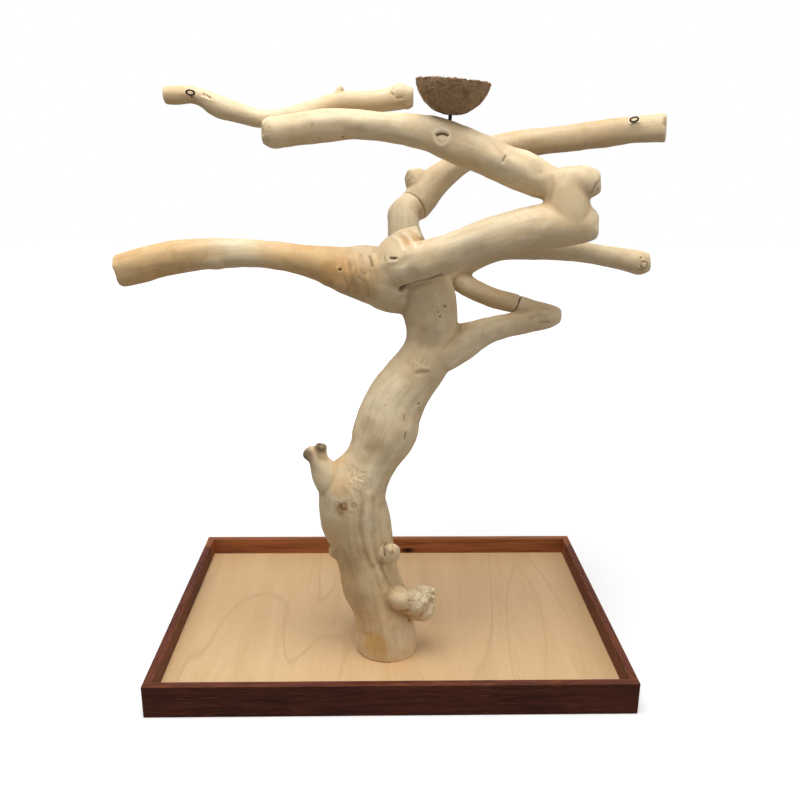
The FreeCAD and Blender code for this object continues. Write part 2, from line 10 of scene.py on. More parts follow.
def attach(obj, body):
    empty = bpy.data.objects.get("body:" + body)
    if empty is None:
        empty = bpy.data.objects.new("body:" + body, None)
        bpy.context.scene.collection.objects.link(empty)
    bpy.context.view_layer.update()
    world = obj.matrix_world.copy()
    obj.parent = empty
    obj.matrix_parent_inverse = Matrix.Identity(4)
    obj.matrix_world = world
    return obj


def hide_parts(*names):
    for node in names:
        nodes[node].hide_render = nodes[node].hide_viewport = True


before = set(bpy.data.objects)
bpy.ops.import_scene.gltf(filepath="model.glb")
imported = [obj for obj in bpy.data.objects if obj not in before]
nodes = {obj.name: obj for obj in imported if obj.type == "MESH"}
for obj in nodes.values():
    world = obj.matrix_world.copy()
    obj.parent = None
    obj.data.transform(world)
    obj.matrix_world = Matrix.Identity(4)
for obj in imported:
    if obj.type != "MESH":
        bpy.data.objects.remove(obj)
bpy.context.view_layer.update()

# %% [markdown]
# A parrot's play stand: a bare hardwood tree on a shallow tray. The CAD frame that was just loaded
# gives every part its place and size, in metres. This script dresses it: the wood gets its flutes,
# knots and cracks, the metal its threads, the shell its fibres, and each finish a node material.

MM = 0.001


def only(thing):
    """Selects one object and nothing else, and makes it the active one."""
    bpy.ops.object.select_all(action="DESELECT")
    thing.select_set(True)
    bpy.context.view_layer.objects.active = thing
    return thing


def applied(thing, kind, **settings):
    """Adds a modifier, sets it and applies it."""
    modifier = only(thing).modifiers.new(kind.title(), kind)
    for name, value in settings.items():
        setattr(modifier, name, value)
    bpy.ops.object.modifier_apply(modifier=modifier.name)
    return thing


def settle(thing):
    """Moves an object's place into its mesh."""
    only(thing)
    bpy.ops.object.transform_apply(location=True, rotation=True, scale=True)
    return thing


def new_object(name, data):
    """A new object in the scene."""
    thing = bpy.data.objects.new(name, data)
    bpy.context.scene.collection.objects.link(thing)
    return thing


def rows_of(items, field, width=3, form=np.float64):
    """One property of every vertex, edge, corner or face, as rows of numbers."""
    flat = np.zeros(len(items) * width, dtype=form)
    items.foreach_get(field, flat)
    return flat.reshape(-1, width)


def counts_of(items, field):
    return rows_of(items, field, 1, np.int64)[:, 0]


def points_of(thing):
    return rows_of(thing.data.vertices, "co")


def normals_of(thing):
    return rows_of(thing.data.vertices, "normal")


def edges_of(thing):
    return rows_of(thing.data.edges, "vertices", 2, np.int64)


def set_points(thing, rows):
    thing.data.vertices.foreach_set("co", np.ascontiguousarray(rows, dtype=np.float64).ravel())
    thing.data.update()


def add_attribute(mesh, name, kind, values, domain="POINT"):
    """Keeps rows of numbers on a mesh under a name."""
    layer = mesh.attributes.new(name, kind, domain)
    field = "vector" if kind == "FLOAT_VECTOR" else "value"
    form = np.int32 if kind == "INT" else np.float32
    layer.data.foreach_set(field, np.ascontiguousarray(values, dtype=form).ravel())


# %% [markdown]
# Light, floor and finishes are all made of shader nodes. The helpers below make a node in one line,
# so that the cells read like a parts list.

# %% Node helpers
def fill(tree, socket, value):
    """Gives a socket a value, or links another node's output to it."""
    if isinstance(value, bpy.types.NodeSocket):
        tree.links.new(value, socket)
    else:
        socket.default_value = value


def node(tree, kind, sockets=None, **settings):
    """Adds a node, sets it and fills its sockets."""
    made = tree.nodes.new("ShaderNode" + kind)
    for name, value in settings.items():
        setattr(made, name, value)
    for name, value in (sockets or {}).items():
        fill(tree, made.inputs[name], value)
    return made


def math_of(tree, operation, first, second=0.0):
    return node(tree, "Math", {0: first, 1: second}, operation=operation).outputs[0]


def product(tree, first, second):
    return math_of(tree, "MULTIPLY", first, second)


def stretched(tree, vector, factors):
    return node(tree, "VectorMath", {0: vector, 1: factors}, operation="MULTIPLY").outputs[0]


def length_of(tree, vector):
    return node(tree, "VectorMath", {0: vector}, operation="LENGTH").outputs["Value"]


def spread(tree, value, low, high, top=1.0, bottom=0.0, **settings):
    """A number taken from the span low to high to the span bottom to top, and held there."""
    sockets = {"Value": value, "From Min": low, "From Max": high, "To Min": bottom, "To Max": top}
    return node(tree, "MapRange", sockets, **settings).outputs[0]


def emptied(owner):
    """The node tree of a world or material, with nothing in it."""
    owner.use_nodes = True
    owner.node_tree.nodes.clear()
    return owner.node_tree

# %% [markdown]
# The camera stands where the photograph was taken: a little over a metre in front of the tray, at
# the height of the upper limbs, looking down. Its place, turn and lens follow from the tray's
# corners, because a tray is a known rectangle. With the camera in place, a spot in the picture can
# be turned into a spot on the wood, by following a ray from the lens, so that knots sit on their
# limbs when they are seen from any side.

# %% Camera
PICTURE = 800
FOCAL_PIXELS = 805.6
SENSOR = 36
CAMERA_PLACE = Vector((-19.3, -1304.7, 821.9)) * MM
CAMERA_YAW = math.radians(1.47)
CAMERA_PITCH = math.radians(16.62)
CAMERA_ROLL = math.radians(-0.504)
SEARCH_PIXELS = 9
SEARCH_TURNS = 8
NEAR_CLIP = 0.05

lens = bpy.data.cameras.new("photo_camera")
lens.sensor_width = SENSOR
lens.lens = FOCAL_PIXELS / PICTURE * SENSOR
lens.clip_start = NEAR_CLIP
camera = new_object("photo_camera", lens)
bpy.context.scene.camera = camera
level = math.cos(CAMERA_PITCH)
forward = Vector(
    (math.sin(CAMERA_YAW) * level, math.cos(CAMERA_YAW) * level, -math.sin(CAMERA_PITCH))
)
aim = forward.to_track_quat("-Z", "Y") @ Quaternion((0, 0, 1), -CAMERA_ROLL)
camera.rotation_euler = aim.to_euler()
camera.location = CAMERA_PLACE
print(f"camera: {lens.lens:.1f} mm lens, looking down {math.degrees(CAMERA_PITCH):.1f} degrees")


def ray(u, v):
    """The direction from the lens through a spot of the picture."""
    across = (u - PICTURE / 2) / FOCAL_PIXELS
    up = (PICTURE / 2 - v) / FOCAL_PIXELS
    return aim @ Vector((across, up, -1))


def spot(tree, u, v):
    """Where the ray through a spot of the picture, or through the nearest that can, meets wood."""
    for reach in range(SEARCH_PIXELS):
        for turn in range(SEARCH_TURNS if reach else 1):
            angle = math.tau * turn / SEARCH_TURNS
            aside = ray(u + reach * math.cos(angle), v + reach * math.sin(angle))
            place, normal, _, _ = tree.ray_cast(CAMERA_PLACE, aside.normalized())
            if place is not None:
                return place, normal
    raise ValueError(f"no surface near picture spot {u}, {v}")


def picture_move(place, right, down):
    """A move across the picture, in its pixels, as a move in space at a place's depth."""
    depth = (place - CAMERA_PLACE).dot(aim @ Vector((0, 0, -1)))
    return (aim @ Vector((right, -down, 0))) * (depth / FOCAL_PIXELS)


# %% [markdown]
# The light is that of a small studio: one broad soft lamp overhead, a little in front, and weaker
# ones left and right, so that limbs are pale above and brown below. The room is white to the camera
# and to reflections, and gives only a dim light of its own.

# %% Light and room
# place, width and depth in metres, watts
LAMPS = {
    "top_lamp": ((-0.2, -0.35, 2.3), (1.6, 1.4), 44),
    "left_lamp": ((-2.0, -1.6, 1.5), (1.2, 1.6), 5),
    "right_lamp": ((2.2, -1.2, 1.3), (1.2, 1.6), 14),
}
LAMP_TARGET = Vector((0, 0, 0.5))
ROOM_TINT = (1, 0.99, 0.97, 1)
ROOM_LEVEL = 0.25
WHITE = (1, 1, 1, 1)

for name, (place, size, watts) in LAMPS.items():
    lamp = bpy.data.lights.new(name, "AREA")
    lamp.shape = "RECTANGLE"
    lamp.size, lamp.size_y = size
    lamp.energy = watts
    holder = new_object(name, lamp)
    holder.location = place
    direction = LAMP_TARGET - Vector(place)
    holder.rotation_euler = direction.to_track_quat("-Z", "Y").to_euler()

bpy.context.scene.view_settings.view_transform = "Standard"
world = bpy.data.worlds.new("room")
bpy.context.scene.world = world
room = emptied(world)
seen = node(room, "LightPath").outputs
share = seen["Is Camera Ray"]
for kind in ("Is Glossy Ray", "Is Transmission Ray"):
    share = math_of(room, "MAXIMUM", share, seen[kind])
lit = node(room, "Background", {"Color": ROOM_TINT, "Strength": ROOM_LEVEL}).outputs[0]
white = node(room, "Background", {"Color": WHITE, "Strength": 1}).outputs[0]
mixed = node(room, "MixShader", {0: share, 1: lit, 2: white}).outputs[0]
node(room, "OutputWorld", {"Surface": mixed})
print("lamps:", len(LAMPS))

# %% [markdown]
# The floor is pale paper. To the camera it glows a little more the farther it is from the tray, so
# that it fades into the white room, while the shadow near the tray stays. To every other ray it is
# dimmer, or it would light the limbs from below.

# %% Floor
FLOOR_SIZE = 14
FLOOR_DROP = 0.5 * MM
FLOOR_WHITE = 0.8
FLOOR_BOUNCE = 0.34
GLOW_NEAR = 0.36
GLOW_FAR = 0.95
GLOW_NEAR_RADIUS = 0.45
GLOW_FAR_RADIUS = 1.5

bpy.ops.object.select_all(action="DESELECT")
bpy.ops.mesh.primitive_plane_add(size=FLOOR_SIZE, location=(0, 0, -FLOOR_DROP))
floor = settle(bpy.context.active_object)
floor.name = "studio_floor"
paper = bpy.data.materials.new("white_paper")
sheet = emptied(paper)
seen_paper, dim_paper = (
    node(sheet, "BsdfDiffuse", {"Color": (level, level, level, 1)}).outputs[0]
    for level in (FLOOR_WHITE, FLOOR_BOUNCE)
)
radius = length_of(sheet, node(sheet, "TexCoord").outputs["Object"])
span = (GLOW_NEAR_RADIUS, GLOW_FAR_RADIUS, GLOW_FAR, GLOW_NEAR)
growth = spread(sheet, radius, *span, interpolation_type="SMOOTHSTEP")
glow = node(sheet, "Emission", {"Color": growth}).outputs[0]
both = node(sheet, "AddShader", {0: seen_paper, 1: glow}).outputs[0]
to_camera = node(sheet, "LightPath").outputs["Is Camera Ray"]
plain = node(sheet, "MixShader", {0: to_camera, 1: dim_paper, 2: both}).outputs[0]
node(sheet, "OutputMaterial", {"Surface": plain})
floor.data.materials.append(paper)
print("floor:", FLOOR_SIZE, "m")

# %% [markdown]
# Wood grain runs along a limb, so each limb needs to know which way that is. A guide is a short
# line of points down the limb's middle, in millimetres from the centre of the foot. A smooth curve
# through them gives every point of the surface three numbers: across, over, and along the limb.
# They are kept on the mesh as an attribute, and both the relief and the materials read it.

# %% Guides down the limbs
FOOT = Vector((-8, -99, 21.6))
GUIDES = {
    "trunk": [
        [(0, 0, -20), (-13, 4, 85), (-41, 9, 195), (-54, 9, 290), (-5, 25, 376), (14, 37, 427)]
        + [(60, 49, 493), (68, 57, 570), (42, 61, 625), (0, 60, 690)],
        [(64, 58, 590), (8, 60, 616), (-66, 58, 634), (-128, 55, 649)],
        [(50, 48, 480), (98, 55, 513), (158, 62, 537), (236, 71, 557), (300, 78, 563)],
        [(236, 76, 545), (209, 77, 579), (150, 90, 600)],
        [(38, 80, 600), (33, 112, 648), (28, 182, 710), (60, 205, 740)],
        [(4, 58, 640), (20, 46, 668), (70, 36, 706)],
        [(-60, 5, 262), (-92, -1, 308), (-110, -5, 338), (-134, -9, 375)],
        [(-92, -1, 308), (-105, -5, 350), (-102, -5, 385)],
    ],
    "left_limb": [
        [(-40, 58, 630), (-82, 57, 638), (-182, 55, 658), (-244, 57, 660), (-362, 65, 645)]
        + [(-450, 71, 624)],
    ],
    "main_limb": [
        [(-4, 58, 632), (46, 8, 654), (120, -11, 681), (207, -13, 705), (320, -13, 709)],
        [(250, -13, 690), (261, -12, 722), (254, -7, 790)],
        [(240, -8, 764), (289, -9, 771), (320, -9, 771)],
    ],
    "top_arm": [
        [(270, -8, 760), (226, 3, 772), (142, 25, 807), (47, 53, 841), (-35, 71, 850)]
        + [(-133, 81, 844), (-210, 83, 838)],
    ],
    "back_branch": [
        [(-365, 131, 892), (-312, 128, 893), (-256, 121, 874), (-194, 114, 859), (-122, 117, 870)]
        + [(-43, 126, 886), (50, 129, 895)],
        [(-96, 122, 874), (-78, 122, 896), (-68, 122, 918)],
    ],
    "rear_arm": [
        [(28, 182, 710), (60, 205, 740), (84, 209, 767), (146, 192, 810), (233, 173, 828)]
        + [(339, 141, 842), (450, 106, 852)],
        [(66, 208, 744), (50, 213, 766), (36, 218, 796)],
    ],
    "rear_fork": [
        [(50, 88, 606), (118, 101, 639), (181, 83, 666), (269, 61, 668), (353, 47, 657)]
        + [(420, 37, 648)],
        [(100, 99, 634), (129, 95, 606), (164, 87, 590), (236, 72, 570)],
    ],
}
print("guides:", sum(len(lines) for lines in GUIDES.values()))

# %% [markdown]
# Each guide turns into a row of close points, with its direction and two crosswise ones at each. A
# vertex takes its numbers from the nearest point. Rubbing them over the net hides the places where
# one guide hands over to the next.

# %% Coordinates along a limb
GUIDE_STEP = 5 * MM
GUIDE_RUBS = 14
BLOCK = 20000
RUB_STEP = 0.6
CUT_FACING = 0.86
CUT_SPAN = 0.08


def smooth_line(knots):
    """Points close together on a smooth curve through the knots."""
    rows = [FOOT * MM + Vector(knot) * MM for knot in knots]
    rows = [rows[0] * 2 - rows[1]] + rows + [rows[-1] * 2 - rows[-2]]
    line = []
    for before, start, end, after in zip(rows, rows[1:], rows[2:], rows[3:]):
        count = max(2, round((end - start).length / GUIDE_STEP))
        for step in range(count):
            t = step / count
            pull = (end - before) * 0.5
            push = (after - start) * 0.5
            line.append(
                start * (2 * t**3 - 3 * t**2 + 1)
                + pull * (t**3 - 2 * t**2 + t)
                + end * (3 * t**2 - 2 * t**3)
                + push * (t**3 - t**2)
            )
    line.append(rows[-2])
    return line


def guide_frames(knots):
    """For each point of a guide: place, direction, two crosswise directions, length so far."""
    line = smooth_line(knots)
    frames = []
    side = None
    travelled = 0.0
    for index, place in enumerate(line):
        ahead = line[min(index + 1, len(line) - 1)] - line[max(index - 1, 0)]
        ahead.normalize()
        if side is None:
            side = ahead.orthogonal().normalized()
        side = (side - ahead * side.dot(ahead)).normalized()
        frames.append((place, ahead, side, ahead.cross(side), travelled))
        if index + 1 < len(line):
            travelled += (line[index + 1] - place).length
    return frames


def rubbed(values, ends, rubs, weight=None):
    """Moves rows towards the mean of their neighbours along the edges, again and again."""
    starts = np.concatenate([ends[:, 0], ends[:, 1]])
    others = np.concatenate([ends[:, 1], ends[:, 0]])
    size = len(values)
    count = np.bincount(starts, minlength=size)
    touched = count > 0
    step = np.full(size, RUB_STEP) if weight is None else weight * RUB_STEP
    for _ in range(rubs):
        total = [np.bincount(starts, column[others], size) for column in values.T]
        mean = np.stack(total, axis=1)[touched] / count[touched, None]
        values[touched] += (mean - values[touched]) * step[touched, None]
    return values


def limb_coordinates(members, skin):
    """Across, over and along the nearest guide for each vertex, and 1 on a cut end."""
    rows = points_of(skin)
    normals = normals_of(skin)
    best = np.full(len(rows), np.inf)
    local = np.zeros((len(rows), 4))
    for knots in [line for node in members for line in GUIDES[node]]:
        frames = guide_frames(knots)
        places, aheads, sides, overs = (np.array([f[i] for f in frames]) for i in range(4))
        travels = np.array([f[4] for f in frames])
        for start in range(0, len(rows), BLOCK):
            here = slice(start, start + BLOCK)
            block = rows[here]
            gaps = (block**2).sum(axis=1)[:, None] - 2 * block @ places.T + (places**2).sum(axis=1)
            nearest = gaps.argmin(axis=1)
            distance = gaps[np.arange(len(block)), nearest]
            offset = block - places[nearest]
            across, over, along = (
                (offset * way[nearest]).sum(axis=1) for way in (sides, overs, aheads)
            )
            facing = (normals[here] * aheads[nearest]).sum(axis=1)
            cut = np.clip((np.abs(facing) - CUT_FACING) / CUT_SPAN, 0, 1)
            cut *= (nearest < 2) | (nearest > len(places) - 3)
            coordinates = np.stack([across, over, along + travels[nearest], cut], axis=1)
            closer = distance < best[here]
            local[here][closer] = coordinates[closer]
            best[here][closer] = distance[closer]
    local[:, :3] = rubbed(local[:, :3].copy(), edges_of(skin), GUIDE_RUBS)
    return local[:, :3], local[:, 3]


print(f"guide points every {GUIDE_STEP / MM:.0f} mm")

# %% [markdown]
# A CAD limb is smooth and round, and a real one is neither. Copies of the limbs are merged, the
# recesses over their screws are plugged as a joiner would, and a voxel remesh turns them into an
# even net of small faces that can be shaped anywhere. The four limbs whose joints the sander has
# blended share one blank, so that wood flows across the joints; the others have their own.

# %% Copies of the CAD limbs
BLANKS = {
    "tree": (["trunk", "left_limb", "main_limb", "top_arm"], 2.45 * MM),
    "back_branch": (["back_branch"], 1.8 * MM),
    "rear_arm": (["rear_arm"], 2.1 * MM),
    "rear_fork": (["rear_fork"], 2.0 * MM),
}
PLUG_RADIUS = 4.8 * MM
PLUG_LENGTH = 7 * MM
PLUG_SIDES = 20
PLUG_DEPTH = 2 * MM
RIM_SLACK = 0.1 * MM
JOINED = 0.01 * MM


def joined_up(mesh):
    """A bmesh of a mesh, with its loose triangles joined up."""
    shape = bmesh.new()
    shape.from_mesh(mesh)
    bmesh.ops.remove_doubles(shape, verts=shape.verts, dist=JOINED)
    return shape


def merged_copy(node, name):
    """A new object with a CAD node's mesh, joined up."""
    shape = joined_up(nodes[node].data)
    mesh = bpy.data.meshes.new(name)
    shape.to_mesh(mesh)
    shape.free()
    return new_object(name, mesh)


def islands(node):
    """The separate solids of a CAD node, each as rows of points."""
    shape = joined_up(nodes[node].data)
    left = set(shape.verts)
    found = []
    while left:
        group = [left.pop()]
        for vertex in group:
            for edge in vertex.link_edges:
                other = edge.other_vert(vertex)
                if other in left:
                    left.remove(other)
                    group.append(other)
        found.append(np.array([vertex.co for vertex in group]))
    shape.free()
    return found


def screw_head(rows):
    """The middle of a countersunk screw's flat head, and the way it faces."""
    middle = rows.mean(axis=0)
    along = np.linalg.svd(rows - middle, full_matrices=False)[2][0]
    reach = (rows - middle) @ along
    girth = np.linalg.norm((rows - middle) - np.outer(reach, along), axis=1)
    if reach[girth.argmax()] < 0:
        along = -along
        reach = -reach
    rim = rows[reach > reach.max() - RIM_SLACK]
    return Vector(rim.mean(axis=0)), Vector(along)


HEADS = [screw_head(rows) for rows in islands("joint_screws")]
print("screw heads:", len(HEADS))

# %% [markdown]
# Now the copies are joined, with a plug over each screw head of the trunk, and each blank is
# remeshed and lightly smoothed, so that the voxels' steps don't show.

# %% Blanks
def joined(things, name):
    bpy.ops.object.select_all(action="DESELECT")
    for thing in things:
        thing.select_set(True)
    bpy.context.view_layer.objects.active = things[0]
    bpy.ops.object.join()
    things[0].name = name
    return things[0]


def plugs_in(limb):
    """A short cylinder over each screw head that lies in this limb's box."""
    rows = points_of(limb)
    low = Vector(rows.min(axis=0))
    high = Vector(rows.max(axis=0))
    made = []
    for place, outward in HEADS:
        if all(low[i] < place[i] < high[i] for i in range(3)):
            bpy.ops.object.select_all(action="DESELECT")
            bpy.ops.mesh.primitive_cylinder_add(
                vertices=PLUG_SIDES,
                radius=PLUG_RADIUS,
                depth=PLUG_LENGTH,
                location=place + outward * (PLUG_LENGTH / 2 - PLUG_DEPTH),
                rotation=outward.to_track_quat("Z", "Y").to_euler(),
            )
            made.append(settle(bpy.context.active_object))
    return made


wood = {}
for name, (members, voxel) in BLANKS.items():
    copies = [merged_copy(node, "blank_" + node) for node in members]
    plugs = plugs_in(copies[0]) if name == "tree" else []
    wood[name] = joined(copies + plugs, "blank_" + name)
    applied(wood[name], "REMESH", mode="VOXEL", voxel_size=voxel, use_smooth_shade=True)
    applied(wood[name], "SMOOTH", factor=0.5, iterations=5)
    print(f"{name}: {len(wood[name].data.vertices)} vertices, {len(plugs)} plugs")

# %% [markdown]
# The shaping is done in four ways. A pull moves a patch of wood as a sculptor's grab brush
# does. A soften rubs a patch smooth. Noise that is stretched along the limb makes its flutes and
# swellings. A mark is a stroke that presses in or raises a knot, pit, slit or wrinkle, and darkens
# or pales the wood there. Places are given by their spot in the picture, and ride on the surface.

# %% Pulls and softened patches
# spot in the picture, radius in millimetres, right and down in picture pixels
PULLS_ON_TREE = [
    (214, 266, 20, 0, 1.5),
    (340, 284, 14, 0, 3),
    (335, 550, 9, -1.5, 0),
    (389, 556, 24, 4, -6),
    (447, 330, 30, 2.5, 0),
    (390, 398, 30, -2, 0),
]
PULLS = {
    "tree": PULLS_ON_TREE,
    "back_branch": [
        (398, 88, 13, 0, -2.5),
        (409, 106, 10, 0, 2),
    ],
    "rear_arm": [(411, 172, 14, -1, -2)],
}
# spot in the picture, radius in millimetres, rubs
SOFTENS_ON_TREE = [
    (386, 262, 42, 60),
    (398, 246, 26, 40),
    (548, 186, 30, 50),
    (422, 369, 14, 30),
    (597, 178, 21, 50),
    (600, 216, 24, 60),
    (566, 190, 34, 30),
    (388, 555, 14, 20),
    (350, 470, 24, 40),
]
SOFTENS = {
    "tree": SOFTENS_ON_TREE,
    "back_branch": [(408, 98, 13, 40)],
    "rear_arm": [(404, 178, 14, 30)],
}
SCREW_SOFTEN_RADIUS = 15
SCREW_SOFTEN_RUBS = 120
SCREW_SOFTEN_LIFT = 4 * MM


def fall_off(rows, place, radius):
    """1 at a place, 0 at the radius in millimetres and beyond, smooth in between."""
    gap = np.linalg.norm(rows - np.array(place), axis=1)
    share = np.clip(1 - (gap / (radius * MM)) ** 2, 0, 1)
    return share * share * (3 - 2 * share)


def skin_tree(thing):
    return BVHTree.FromObject(thing, bpy.context.evaluated_depsgraph_get())


def pull(skin, place, radius, right, down):
    rows = points_of(skin)
    move = np.array(picture_move(place, right, down))
    set_points(skin, rows + fall_off(rows, place, radius)[:, None] * move)


def soften(skin, place, radius, rubs):
    rows = points_of(skin)
    weight = fall_off(rows, place, radius)
    ends = edges_of(skin)
    near = ends[(weight[ends] > 0).any(axis=1)]
    set_points(skin, rubbed(rows, near, rubs, weight))


for change, settings in ((pull, PULLS), (soften, SOFTENS)):
    for name, patches in settings.items():
        for u, v, *sizes in patches:
            change(wood[name], spot(skin_tree(wood[name]), u, v)[0], *sizes)
for place, outward in HEADS:
    middle = place + outward * SCREW_SOFTEN_LIFT
    soften(wood["tree"], middle, SCREW_SOFTEN_RADIUS, SCREW_SOFTEN_RUBS)
print("pulls and softened patches done")

# %% [markdown]
# The relief is the sum of four noises: swellings and lumps that are alike in every direction, and
# flutes and ripples that are drawn out along the grain. The drawn-out ones fade in crotches, where
# the grain runs two ways at once.

# %% Flutes and swellings
SWELL_SIZE = 46 * MM
SWELL_HEIGHT = 2.4 * MM
LUMP_SIZE = 17 * MM
LUMP_HEIGHT = 0.8 * MM
FLUTE_ACROSS = 17 * MM
FLUTE_ALONG = 95 * MM
FLUTE_HEIGHT = 1.35 * MM
RIPPLE_ACROSS = 5 * MM
RIPPLE_ALONG = 40 * MM
RIPPLE_HEIGHT = 0.14 * MM
STRENGTH = {"tree": 1.0, "back_branch": 0.6, "rear_arm": 0.75, "rear_fork": 0.7}
JUMP_START = 1.5
JUMP_SPAN = 1.2
CALM_SPREAD = 5


def calm_share(skin, local):
    """1 where the grain runs evenly, 0 where it jumps from one guide to another, as in crotches."""
    ends = edges_of(skin)
    rows = points_of(skin)
    length = np.linalg.norm(rows[ends[:, 0]] - rows[ends[:, 1]], axis=1) + JOINED
    jump = np.linalg.norm(local[ends[:, 0]] - local[ends[:, 1]], axis=1) / length
    share = np.ones(len(rows))
    even = np.clip(1 - (jump - JUMP_START) / JUMP_SPAN, 0, 1)
    for side in (0, 1):
        np.minimum.at(share, ends[:, side], even)
    for _ in range(CALM_SPREAD):
        before = share.copy()
        for here, there in ((0, 1), (1, 0)):
            np.minimum.at(share, ends[:, here], before[ends[:, there]])
    return rubbed(share[:, None], ends, 2 * CALM_SPREAD)[:, 0]


def relief(name):
    """Moves the skin in and out with noise that is stretched along the limb."""
    skin = wood[name]
    rows = points_of(skin)
    local, cut = limb_coordinates(BLANKS[name][0], skin)
    calm = calm_share(skin, local)
    heights = np.zeros(len(rows))
    for index, (place, grain) in enumerate(zip(rows, local)):
        flute = (grain[0] / FLUTE_ACROSS, grain[1] / FLUTE_ACROSS, grain[2] / FLUTE_ALONG)
        ripple = (grain[0] / RIPPLE_ACROSS, grain[1] / RIPPLE_ACROSS, grain[2] / RIPPLE_ALONG)
        heights[index] = (
            SWELL_HEIGHT * noise.noise(Vector(place) / SWELL_SIZE)
            + LUMP_HEIGHT * noise.noise(Vector(place) / LUMP_SIZE)
            + calm[index] * FLUTE_HEIGHT * noise.noise(flute)
            + calm[index] * RIPPLE_HEIGHT * noise.noise(ripple)
        )
    set_points(skin, rows + normals_of(skin) * (heights * STRENGTH[name])[:, None])
    add_attribute(skin.data, "grain", "FLOAT_VECTOR", local)
    add_attribute(skin.data, "end", "FLOAT", cut)
    add_attribute(skin.data, "calm", "FLOAT", calm)


for name in wood:
    relief(name)
print("flutes and swellings done")

# %% [markdown]
# Each mark is a stroke through one or more spots of the picture, with a soft edge. Its height
# raises or presses in the wood, its shade darkens (below 0) or pales it, and its warmth turns it
# golden. A ring is drawn by giving a stroke of one spot a radius.

